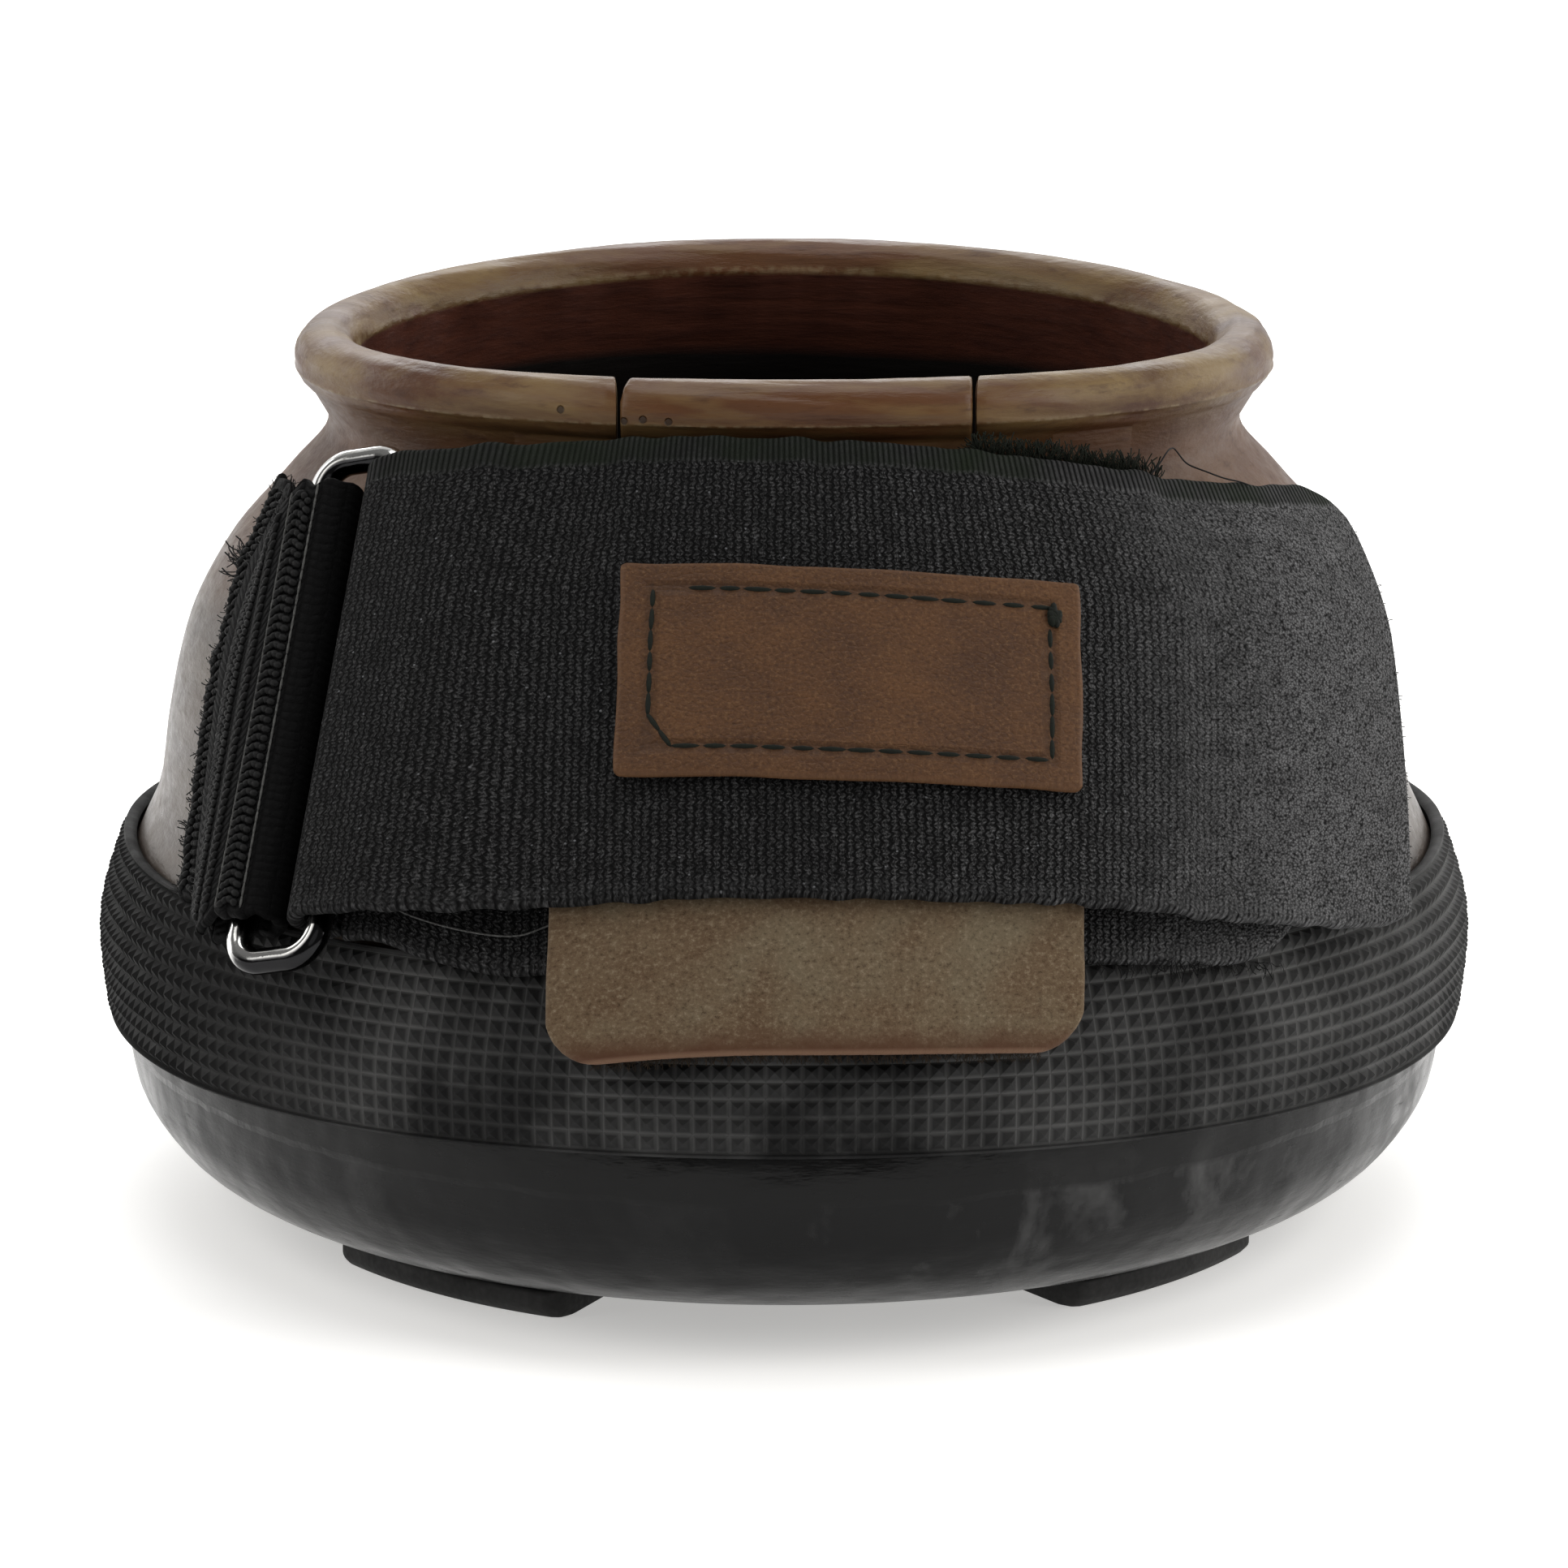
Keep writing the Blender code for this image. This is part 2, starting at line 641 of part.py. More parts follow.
def make_inner_strap(mat):
    """The sewn run: from the ring, under the guard, to its end beside the right slit."""
    start = STRAP_BAR + FOLD_TAIL + 2 * GAP
    fold_foot = RING.axis_height - FOLD_OUTER

    def place(along, across, extra):
        shift = along + RING_PLACE
        weight = float(smooth_step((shift - start) / BLEND))
        return by_ring(shift, across, INNER_LAYER + extra, fold_foot + extra, weight, INNER_DROP * weight)

    stations = end_stations(start - RING_PLACE, INNER_LENGTH, 26, STRAP_CORNER, False)
    ends = (INNER_LENGTH,)
    layered_panel("inner_strap", stations, 0.0, STRAP_WIDTH, STRAP_WALL, place, mat, STRAP_CORNER, ends)


def make_strap_fold(mat, pivot):
    """The strap's turn round the ring's bar, which moves with the ring."""
    arc_steps = 10
    middle = FOLD_INNER + STRAP_WALL / 2
    path = [(STRAP_BAR + FOLD_RUN, middle, 0.0, 1.0)]
    for step in range(arc_steps + 1):
        turn = pi / 2 + pi * step / arc_steps
        path.append((STRAP_BAR + middle * cos(turn), middle * sin(turn), cos(turn), sin(turn)))
    path.append((STRAP_BAR + FOLD_TAIL, -middle, 0.0, -1.0))
    make_ply("strap_fold", path, STRAP_WALL, mat, pivot)


def make_ply(name, path, wall, mat, pivot):
    """A folded strip, straight across the ring's frame. A path row is shift, height and normal."""
    outer, inner = [], []
    for shift, height, side, rise in path:
        for grid, reach in ((outer, wall / 2), (inner, -wall / 2)):
            row = []
            for step in range(STRAP_ROWS + 1):
                across = STRAP_WIDTH * step / STRAP_ROWS
                level = RING.axis_height + height + rise * reach
                row.append(RING.point(shift + side * reach, across, level))
            grid.append(row)
    return slab(name, np.array(outer)[::-1], np.array(inner)[::-1], mat, pivot=pivot)


def free_place(along, across, extra):
    """The free run: off the fold, over the guard, then down on to the hook patch."""
    shift = along + RING_PLACE
    weight = float(smooth_step((shift - BEND_SHIFT) / BLEND))
    guard_end = GUARD_OFFSET + GUARD_HALF_WIDTH
    settle_length = FREE_LENGTH - HOOK_LENGTH - guard_end - RAMP
    settle = float(smooth_step((along - guard_end - RAMP) / settle_length))
    layer = FREE_LAYER + (FREE_END_LAYER - FREE_LAYER) * settle
    flat = RING.axis_height + FOLD_INNER
    return by_ring(shift, across, layer + extra, flat + extra, weight)


def make_free_run(strap_mat, hook_mat, leather_mat, pivot):
    """The free run of the strap, with the hook patch behind its end and the leather patch on it."""
    hinge = bpy.data.objects.new("strap_bend_axis", None)
    hinge.location = pivot
    bpy.context.scene.collection.objects.link(hinge)
    start = BEND_SHIFT - RING_PLACE
    stations = end_stations(start, FREE_LENGTH, 34, STRAP_CORNER, False)
    ends = (FREE_LENGTH,)
    strap = layered_panel(
        "outer_strap", stations, 0.0, STRAP_WIDTH, STRAP_WALL, free_place, strap_mat, STRAP_CORNER, ends, pivot
    )

    def hook_place(along, across, extra):
        return free_place(along, across, extra - GAP - HOOK_WALL)

    hook_end = FREE_LENGTH - HOOK_MARGIN
    stations = end_stations(hook_end - HOOK_LENGTH + HOOK_MARGIN, hook_end, 8, HOOK_MARGIN, True)
    ends = (stations[0], stations[-1])
    foot, top = HOOK_MARGIN, STRAP_WIDTH - HOOK_MARGIN
    hook = layered_panel(
        "hook_patch", stations, foot, top, HOOK_WALL, hook_place, hook_mat, HOOK_MARGIN, ends, pivot
    )

    def patch_place(along, across, extra):
        tilted = across - PATCH_TILT_SHARE * (along - PATCH_OFFSET)
        return free_place(along, tilted, extra + STRAP_WALL + GAP)

    left = PATCH_OFFSET - PATCH_HALF_WIDTH
    right = PATCH_OFFSET + PATCH_HALF_WIDTH
    stations = end_stations(left, right, 14, PATCH_CORNER, True)
    ends = (left, right)
    foot, top = PATCH_FOOT, PATCH_FOOT + PATCH_HEIGHT
    patch = layered_panel(
        "label_patch", stations, foot, top, PATCH_WALL, patch_place, leather_mat, PATCH_CORNER, ends, pivot
    )
    for piece in (strap, hook, patch):
        piece.location = (0, 0, 0)
        piece.parent = hinge


def make_guard(mat):
    """Leather guard between the runs of the strap, hanging over the foxing band."""

    def place(along, across, extra):
        return ROUTE.on_body(along, across, GUARD_LAYER + extra)

    left = GUARD_OFFSET - GUARD_HALF_WIDTH
    right = GUARD_OFFSET + GUARD_HALF_WIDTH
    stations = end_stations(left, right, 16, GUARD_CORNER, True)
    top = STRAP_WIDTH - GUARD_TOP_MARGIN
    ends = (left, right)
    layered_panel("guard_flap", stations, -GUARD_OVERHANG, top, GUARD_WALL, place, mat, GUARD_CORNER, ends)


def make_ring(mat, pivot):
    """Rectangular ring of round wire in the flat frame."""
    half_pitch = RING_PITCH / 2
    half_length = (RING_OPENING + 2 * WIRE_RADIUS) / 2
    corner_steps, sides = 5, 8
    centres = []
    for quarter in range(4):
        sign_side = (1, -1, -1, 1)[quarter]
        sign_up = (1, 1, -1, -1)[quarter]
        for step in range(corner_steps + 1):
            turn = pi / 2 * (quarter + step / corner_steps)
            shift = sign_side * (half_pitch - RING_CORNER) + RING_CORNER * cos(turn)
            rise = sign_up * (half_length - RING_CORNER) + RING_CORNER * sin(turn)
            centres.append((shift, rise, cos(turn), sin(turn)))
    rings = []
    for shift, rise, side, up in centres:
        ring = []
        for k in range(sides):
            turn = -2 * pi * k / sides
            reach = WIRE_RADIUS * cos(turn)
            height = RING.axis_height + WIRE_RADIUS * sin(turn)
            ring.append(RING.point(shift + side * reach, STRAP_WIDTH / 2 + rise + up * reach, height))
        rings.append(ring)
    return loft_round("strap_ring", rings, mat, sharp_degrees=80, pivot=pivot)


def make_webbing(mat):
    """Webbing doubled round the ring's outer bar, its two plies sewn down on the upper's side."""
    middle = WIRE_RADIUS + GAP + WEBBING_WALL / 2
    end = WEBBING_BAR - WEBBING_LENGTH
    low_ply = GAP + WEBBING_WALL / 2
    high_ply = low_ply + WEBBING_WALL + WEBBING_PLY_GAP
    bar_high = RING.axis_height + middle
    bar_low = RING.axis_height - middle
    tail_steps, arc_steps = 9, 10
    path = []
    for step in range(tail_steps):
        shift = end + WEBBING_LENGTH * step / tail_steps
        near = float(smooth_step((shift - (WEBBING_BAR - WEBBING_BLEND)) / WEBBING_BLEND))
        path.append((shift, high_ply + (bar_high - high_ply) * near, 0.0, 1.0))
    for step in range(arc_steps + 1):
        turn = pi / 2 - pi * step / arc_steps
        level = RING.axis_height + middle * sin(turn)
        path.append((WEBBING_BAR + middle * cos(turn), level, cos(turn), sin(turn)))
    for step in range(tail_steps - 1, -1, -1):
        shift = end + WEBBING_LENGTH * step / tail_steps
        near = float(smooth_step((shift - (WEBBING_BAR - WEBBING_BLEND)) / WEBBING_BLEND))
        path.append((shift, low_ply + (bar_low - low_ply) * near, 0.0, -1.0))
    outer, inner = [], []
    for shift, height, side, rise in path:
        for grid, reach in ((outer, WEBBING_WALL / 2), (inner, -WEBBING_WALL / 2)):
            row = []
            for step in range(STRAP_ROWS + 1):
                foot = (STRAP_WIDTH - WEBBING_WIDTH) / 2 - WEBBING_DROP
                across = foot + WEBBING_WIDTH * step / STRAP_ROWS
                place = shift + side * reach
                away = WEBBING_BAR - WEBBING_BLEND_START - place
                weight = float(smooth_step(away / WEBBING_BLEND))
                row.append(by_ring(place, across, height + rise * reach, height + rise * reach, weight))
            grid.append(row)
    slab("webbing_loop", np.array(outer), np.array(inner), mat)


def main():
    clear_scene()
    brown_rubber = material("brown_rubber", (0.115, 0.062, 0.042), 0.28)
    black_rubber = material("black_rubber", (0.012, 0.012, 0.013), 0.30)
    band_rubber = material("band_rubber", (0.022, 0.022, 0.024), 0.60)
    tread_rubber = material("tread_rubber", (0.016, 0.016, 0.016), 0.75)
    insole_felt = material("insole_felt", (0.030, 0.027, 0.025), 0.90)
    strap_fabric = material("strap_fabric", (0.016, 0.017, 0.017), 0.92)
    hook_fabric = material("hook_fabric", (0.010, 0.010, 0.010), 0.80)
    webbing_fabric = material("webbing_fabric", (0.010, 0.010, 0.011), 0.85)
    guard_leather = material("guard_leather", (0.150, 0.105, 0.060), 0.85)
    patch_leather = material("patch_leather", (0.125, 0.060, 0.032), 0.55)
    chrome = material("chrome", (0.80, 0.80, 0.80), 0.12, 1.0)

    ring_pivot = RING.point(WEBBING_BAR, STRAP_WIDTH / 2, RING.axis_height)
    bend_pivot = RING.point(BEND_SHIFT, STRAP_WIDTH / 2, RING.axis_height + FOLD_OUTER)
    make_upper(brown_rubber)
    make_outsole(black_rubber)
    make_insole(insole_felt)
    make_tread_pads(tread_rubber)
    make_band(band_rubber)
    make_inner_strap(strap_fabric)
    make_guard(guard_leather)
    make_ring(chrome, ring_pivot)
    make_strap_fold(strap_fabric, ring_pivot)
    make_webbing(webbing_fabric)
    make_free_run(strap_fabric, hook_fabric, patch_leather, bend_pivot)
    print("tab axis", tab_pivot())
    print("ring axis", ring_pivot, "bend axis", bend_pivot, "direction", RING.up)


main()
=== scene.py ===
"""Looks of the hoof boot: finishes, fabric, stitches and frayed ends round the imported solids.

Metres, +Z up, the toe faces -Y. The shapes follow the same surfaces as the solids, with finer
steps: a body of half ellipses, and a route along which the strap is drawn taut over it.
"""

import bmesh
import bpy
import numpy as np
from math import cos, exp, pi, radians, sin, sqrt
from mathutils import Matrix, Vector


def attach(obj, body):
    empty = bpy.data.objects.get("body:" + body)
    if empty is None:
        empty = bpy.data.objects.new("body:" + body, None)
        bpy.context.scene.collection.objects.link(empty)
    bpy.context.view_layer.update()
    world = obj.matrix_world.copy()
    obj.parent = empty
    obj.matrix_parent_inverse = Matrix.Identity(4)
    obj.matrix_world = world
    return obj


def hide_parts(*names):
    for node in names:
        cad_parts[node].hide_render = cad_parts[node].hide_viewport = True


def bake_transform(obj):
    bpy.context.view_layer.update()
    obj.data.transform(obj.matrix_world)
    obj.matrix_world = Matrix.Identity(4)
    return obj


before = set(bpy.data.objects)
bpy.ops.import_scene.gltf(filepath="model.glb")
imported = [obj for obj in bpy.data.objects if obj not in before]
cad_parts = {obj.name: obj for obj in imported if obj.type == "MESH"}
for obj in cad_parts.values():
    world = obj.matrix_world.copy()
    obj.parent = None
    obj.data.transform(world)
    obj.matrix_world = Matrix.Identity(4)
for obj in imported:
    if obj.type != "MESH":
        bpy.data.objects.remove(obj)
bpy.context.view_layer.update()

# Camera and room
CAMERA_DISTANCE = 1.10
CAMERA_ELEVATION = radians(13.5)
CAMERA_AIM = (0.0, 0.0033, 0.0448)
CAMERA_FIELD = 0.171

# Body of the boot: height, half width, toe, heel and widest line as shares of the sizes above them
BODY_HALF_WIDTH = 0.0733
TOE_REACH = 0.0727
HEEL_REACH = 0.0734
WIDEST_LINE = 0.0153
BODY_HEIGHT = 0.0870
TREAD_DEPTH = 0.0035
BODY_SHARES = (
    (0.000, 0.778, 0.780, 0.771, 0.35),
    (0.017, 0.853, 0.856, 0.845, 0.35),
    (0.063, 0.930, 0.938, 0.926, 0.41),
    (0.120, 0.971, 0.981, 0.966, 0.48),
    (0.200, 0.988, 1.000, 0.987, 0.61),
    (0.293, 1.000, 0.979, 1.000, 0.67),
    (0.385, 0.973, 0.917, 1.000, 0.74),
    (0.466, 0.932, 0.842, 0.993, 0.77),
    (0.546, 0.920, 0.746, 0.973, 0.80),
    (0.661, 0.891, 0.649, 0.946, 0.87),
    (0.764, 0.829, 0.567, 0.906, 0.93),
    (0.845, 0.745, 0.491, 0.852, 1.00),
    (0.920, 0.679, 0.415, 0.795, 1.00),
    (1.000, 0.682, 0.374, 0.751, 1.00),
)
NECK_SHARE = 0.92
UPPER_WALL = 0.0030
COLLAR_RADIUS = 0.00338
COLLAR_RISE = 0.0018
SKIRT_WALL = 0.0022
SKIRT_DEPTH = 0.0080
TAB_HALF_WIDTH = 0.0187
TAB_OFFSET = 0.0013
TAB_FOOT = 0.0530
SLIT = 0.0004
TAB_COLUMNS = 44
AROUND_COLUMNS = 210
MOULD_EDGE = 0.00035
RIDGE_DEGREES = -16
RIDGE_HEIGHT = 0.00016
FLASH_HEIGHT = 0.00035
# Pits in the collar: x and the angle round the bead
PITS = ((-0.0235, 6), (-0.0168, -10), (-0.0148, -6), (-0.0121, -9))

# Sole
SOLE_EDGE_SHARE = 0.293
SOLE_RIM_WALL = 0.0020
SOLE_WALL = 0.0050
SOLE_FLOOR = 0.0050
SOLE_COLUMNS = 240
INSOLE_COLUMNS = 180
INSOLE_MARGIN = 0.0008
PAD_WIDTH = 0.0170
PAD_MARGIN = -0.0008
PAD_CHAMFER = 0.0012
PAD_CORNER = 0.0022
# Of each pad: the side of the boot it is on, and its ends in degrees from the toe or heel line
PADS = {"front_left": (-1, -1, 24, 56), "front_right": (-1, 1, 32, 61), "rear_left": (1, 1, 20, 56),
        "rear_right": (1, -1, 20, 56)}

# Foxing band
BAND_WIDTH = 0.0200
BAND_WALL = 0.0015
BAND_FOOT = 0.0203
BAND_TOE_LIFT = 0.0033
BAND_LIP = 0.0010
GRAIN_ROWS = 10
GRAIN_COLUMNS = 250
GRAIN_HEIGHT = 0.00068
GRAIN_TIP_SHARE = 0.10

# Strap, ring and webbing
STRAP_WIDTH = 0.0530
STRAP_WALL = 0.0018
STRAP_FOOT = 0.0453
RING_SIDE_RADIUS = 0.140
FREE_SIDE_RADIUS = 0.290
RING_LEAN_SHARE = 0.62
FREE_LEAN_SHARE = 0.76
FREE_RISE_SHARE = 0.86
INNER_LENGTH = 0.0555
INNER_DROP = 0.0045
FREE_LENGTH = 0.0690
STRAP_CORNER = 0.0050
SEWN_CORNER = 2.2 * STRAP_CORNER
FREE_CORNER = 1.5 * STRAP_CORNER
FREE_FOOT_SHARE = 0.22
SEWN_BEND = 0.022
PEEL_BEND = 0.010
FOLD_RUN = 0.0037
FOLD_TAIL = 0.0010
RAMP = 0.0080
BLEND = 0.0160
HOOK_LENGTH = 0.0260
HOOK_WALL = 0.0012
HOOK_MARGIN = 0.0020
WIRE_RADIUS = 0.0014
# Way the wire's painted dark reflection faces: the front and a little down.
WIRE_DARK_REFLECTION_WAY = (0.05, -0.96, -0.28)
RING_WINDOW = 0.0072
RING_OPENING = 0.0556
RING_CORNER = 0.0032
RING_PLACE = 0.0468
WEBBING_WALL = 0.0015
WEBBING_LENGTH = 0.0180
WEBBING_WIDTH = 0.0465
WEBBING_DROP = 0.0015
WEBBING_PLY_GAP = 0.0003
WEBBING_BLEND_START = 0.0040
WEBBING_BLEND = 0.0090
UPPER_PLY_START = 0.0066
LOWER_PLY_TRIM = 0.0010
WRAP_SLACK = 0.0019
WEBBING_TEAR = ((0.0, 0.0), (0.41, -0.0001), (0.60, 0.0005), (0.70, 0.0), (0.80, -0.0021), (0.90, -0.0042),
                (1.0, -0.0066))
WEBBING_TOP_TRIM = ((0.0000, -0.0026), (0.0066, -0.0018), (0.0125, 0.0004), (0.0170, 0.0042))

# How far the loose strap's edges stray from its flat outline, at places along it
TOP_STRAY = ((-0.050, 0.0012), (-0.020, 0.0013), (0.005, 0.0011), (0.022, 0.0004), (0.045, -0.0008),
             (0.069, -0.0024))
FOOT_STRAY = ((-0.050, 0.0007), (0.000, 0.0008), (0.024, 0.0002), (0.045, -0.0012), (0.062, -0.0016),
              (0.069, -0.0010))

# Leather
GUARD_HALF_WIDTH = 0.0257
GUARD_OFFSET = 0.0036
GUARD_START, GUARD_END = GUARD_OFFSET - GUARD_HALF_WIDTH, GUARD_OFFSET + GUARD_HALF_WIDTH
GUARD_OVERHANG = 0.0148
GUARD_WALL = 0.0022
GUARD_CORNER = 0.0050
GUARD_TOP_MARGIN = 0.0015
PATCH_HALF_WIDTH = 0.0217
PATCH_OFFSET = 0.0060
PATCH_START, PATCH_END = PATCH_OFFSET - PATCH_HALF_WIDTH, PATCH_OFFSET + PATCH_HALF_WIDTH
PATCH_HEIGHT = 0.0245
PATCH_FOOT = 0.0133
PATCH_TILT_SHARE = 0.04
PATCH_WALL = 0.0014
PATCH_CORNER = 0.0007
STITCH_INSET = 0.0031

GAP = 0.0003
FRONT = -pi / 2
RING_PITCH = RING_WINDOW + 2 * WIRE_RADIUS
FOLD_INNER = WIRE_RADIUS + GAP
FOLD_OUTER = FOLD_INNER + STRAP_WALL
BAND_PROUD = GAP + BAND_WALL
INNER_LAYER = GAP
GUARD_LAYER = INNER_LAYER + STRAP_WALL + GAP
FREE_LAYER = GUARD_LAYER + GUARD_WALL + GAP
FREE_END_LAYER = INNER_LAYER + STRAP_WALL + GAP + HOOK_WALL + GAP
STRAP_BAR = RING_PITCH / 2
WEBBING_BAR = -RING_PITCH / 2
BEND_SHIFT = STRAP_BAR + FOLD_RUN + GAP
AXIS_HEIGHT = GAP + STRAP_WALL + FOLD_INNER
SEWN_START = STRAP_BAR + FOLD_TAIL + 2 * GAP


def unit(vectors):
    return vectors / np.linalg.norm(vectors, axis=-1, keepdims=True)


def smooth_step(value):
    t = np.clip(value, 0.0, 1.0)
    return t * t * (3 - 2 * t)


def monotone_table(column):
    """Cubic through one column of BODY_SHARES that never overshoots its points."""
    x, y = np.array(BODY_SHARES).T[[0, column]]
    steps = np.diff(x)
    slopes = np.diff(y) / steps
    tangents = np.concatenate([slopes[:1], np.zeros(len(x) - 2), slopes[-1:]])
    for i in range(1, len(x) - 1):
        before, after = slopes[i - 1], slopes[i]
        if before * after > 0:
            weight_a = 2 * steps[i] + steps[i - 1]
            weight_b = steps[i] + 2 * steps[i - 1]
            tangents[i] = (weight_a + weight_b) / (weight_a / before + weight_b / after)
    return x, y, steps, tangents


BODY_TABLES = [monotone_table(column) for column in range(1, 5)]


def body_share(column, share):
    x, y, steps, tangents = BODY_TABLES[column]
    share = np.clip(share, x[0], x[-1])
    i = np.clip(np.searchsorted(x, share, side="right") - 1, 0, len(x) - 2)
    t = (share - x[i]) / steps[i]
    rise = y[i] * (1 + 2 * t) * (1 - t) ** 2 + y[i + 1] * t * t * (3 - 2 * t)
    bend = tangents[i] * t * (1 - t) ** 2 - tangents[i + 1] * t * t * (1 - t)
    return rise + steps[i] * bend


def body_height(share):
    return TREAD_DEPTH + share * BODY_HEIGHT


def bare_body(angle, z):
    """Point of the body's surface at an angle round the boot, from two half ellipses."""
    angle, z = np.broadcast_arrays(np.asarray(angle, float), np.asarray(z, float))
    share = (z - TREAD_DEPTH) / BODY_HEIGHT
    half_width = BODY_HALF_WIDTH * body_share(0, share)
    toe = -TOE_REACH * body_share(1, share)
    heel = HEEL_REACH * body_share(2, share)
    widest = WIDEST_LINE * body_share(3, share)
    depth = np.where(np.sin(angle) < 0, widest - toe, heel - widest)
    return np.stack([half_width * np.cos(angle), widest + depth * np.sin(angle), z], axis=-1)


def body_normal(angle, z):
    turn, lift = 0.0005 * pi, 0.0005 * BODY_HEIGHT
    across = bare_body(angle + turn, z) - bare_body(angle - turn, z)
    upward = bare_body(angle, z + lift) - bare_body(angle, z - lift)
    return unit(np.cross(across, upward))


def level_normal(angle, z):
    out = body_normal(angle, z)
    out[..., 2] = 0.0
    return unit(out)


def body(angle, z, offset=0.0):
    """The body's surface moved out by an offset."""
    points = bare_body(angle, z)
    offset = np.broadcast_to(np.asarray(offset, float), points.shape[:-1])
    return points + body_normal(angle, z) * offset[..., None]


def level(points, z):
    points = points.copy()
    points[..., 2] = z
    return points


def run_length(points):
    steps = np.linalg.norm(np.diff(points, axis=0), axis=1)
    return np.concatenate([[0.0], np.cumsum(steps)])


def band_foot(angle):
    return BAND_FOOT + BAND_TOE_LIFT * np.clip(-np.sin(angle), 0.0, 1.0) ** 2


def band_heights(angle, lengths):
    """Heights on the body at lengths up the band from its foot, at one angle."""
    heights = np.linspace(band_foot(angle), body_height(1.0), 160)
    return np.interp(lengths, run_length(body(angle, heights, BAND_PROUD)), heights)


def taut_profile(reach, height):
    """Indices of the points that a taut strip touches: the outward hull of a profile."""
    hull = []
    for i in range(len(height)):
        while len(hull) > 1:
            a, b = hull[-2], hull[-1]
            rise, rise_on = height[b] - height[a], height[i] - height[a]
            if rise * (reach[i] - reach[a]) - (reach[b] - reach[a]) * rise_on < 0:
                break
            hull.pop()
        hull.append(i)
    return hull


def bilinear(table, row, column):
    """Values of a table at fractional rows and columns."""
    row = np.clip(row, 0, table.shape[0] - 1.001)
    column = np.clip(column, 0, table.shape[1] - 1.001)
    i, j = row.astype(int), column.astype(int)
    s, t = row - i, column - j
    if table.ndim == 3:
        s, t = s[..., None], t[..., None]
    low = table[i, j] * (1 - t) + table[i, j + 1] * t
    high = table[i + 1, j] * (1 - t) + table[i + 1, j + 1] * t
    return low * (1 - s) + high * s


class StrapRoute:
    """Where a length along the strap and a height across it lie on the body and its band."""

    TURNS, STEPS, FEET = 241, 420, 25
    REACH = 0.1260

    def __init__(self):
        self.angles = np.linspace(-1.1 * pi, 0.1 * pi, self.TURNS)
        self.low = self.lengths(STRAP_FOOT)
        self.high = self.lengths(body_height(NECK_SHARE))
        self.feet = np.linspace(STRAP_FOOT - 0.0100, STRAP_FOOT, self.FEET)
        self.points = np.zeros((self.TURNS, self.STEPS, 3))
        self.starts = np.zeros((self.TURNS, self.FEET))
        self.sides = np.zeros((self.TURNS, 3))
        for row, angle in enumerate(self.angles):
            self.fill(row, angle)

    def lengths(self, z):
        """Lengths round the body from the toe line, at one height."""
        run = run_length(body(self.angles, z, GUARD_LAYER))
        return run - np.interp(FRONT, self.angles, run)

    def fill(self, row, angle):
        """One taut path up the body, resampled at even steps."""
        band_top = float(band_heights(angle, np.array([BAND_WIDTH]))[0])
        heights = np.linspace(self.feet[0] - GUARD_OVERHANG - RAMP, body_height(NECK_SHARE), 120)
        heights = np.sort(np.append(heights, band_top))
        proud = np.where(heights <= band_top, BAND_PROUD, 0.0)
        points = body(angle, heights, proud)
        out = level_normal(angle, STRAP_FOOT + STRAP_WIDTH / 2)
        hull = points[taut_profile(points @ out, points[:, 2])]
        run = run_length(hull)
        last = (hull[-1] - hull[-2]) / (run[-1] - run[-2])
        steps = np.linspace(0.0, self.REACH, self.STEPS)
        for axis in range(3):
            self.points[row, :, axis] = np.interp(steps, run, hull[:, axis])
        self.points[row] += last * np.maximum(0.0, steps - run[-1])[:, None]
        self.starts[row] = np.interp(self.feet, hull[:, 2], run)
        self.sides[row] = np.cross([0.0, 0.0, 1.0], out)

    def turn(self, along, across):
        """The flat strip leans as it wraps: its top edge goes further round than its foot."""
        low = np.interp(along, self.low, self.angles)
        high = np.interp(along, self.high, self.angles)
        side = smooth_step(along / STRAP_WIDTH + 0.5)
        lean_share = RING_LEAN_SHARE + (FREE_LEAN_SHARE - RING_LEAN_SHARE) * side
        lean = (across / STRAP_WIDTH - 0.5) * lean_share + 0.5
        angle = low + (high - low) * lean
        return (angle - self.angles[0]) / (self.angles[1] - self.angles[0])

    def at(self, row, length):
        return bilinear(self.points, row, length / self.REACH * (self.STEPS - 1))

    def on_body(self, along, across, layer, drop=0.0):
        """Points a layer's height off the body, at lengths up the taut path."""
        along, across, layer = np.broadcast_arrays(along, across, layer)
        around = np.maximum(along, -RING_PLACE)
        radius = np.where(along > 0, FREE_SIDE_RADIUS, RING_SIDE_RADIUS)
        foot = STRAP_FOOT - around * around / (2 * radius)
        row = self.turn(along, across)
        column = (foot - self.feet[0]) / (self.feet[1] - self.feet[0])
        leaning = smooth_step(along / FREE_LENGTH)
        length = across * (1 - (1 - FREE_RISE_SHARE) * leaning) - drop
        length = length + bilinear(self.starts, row, column)
        upward = self.at(row, length + RAMP / 2) - self.at(row, length - RAMP / 2)
        side = bilinear(self.sides[:, None, :].repeat(2, axis=1), row, np.zeros_like(row))
        return self.at(row, length) + unit(np.cross(side, upward)) * layer[..., None]


ROUTE = StrapRoute()


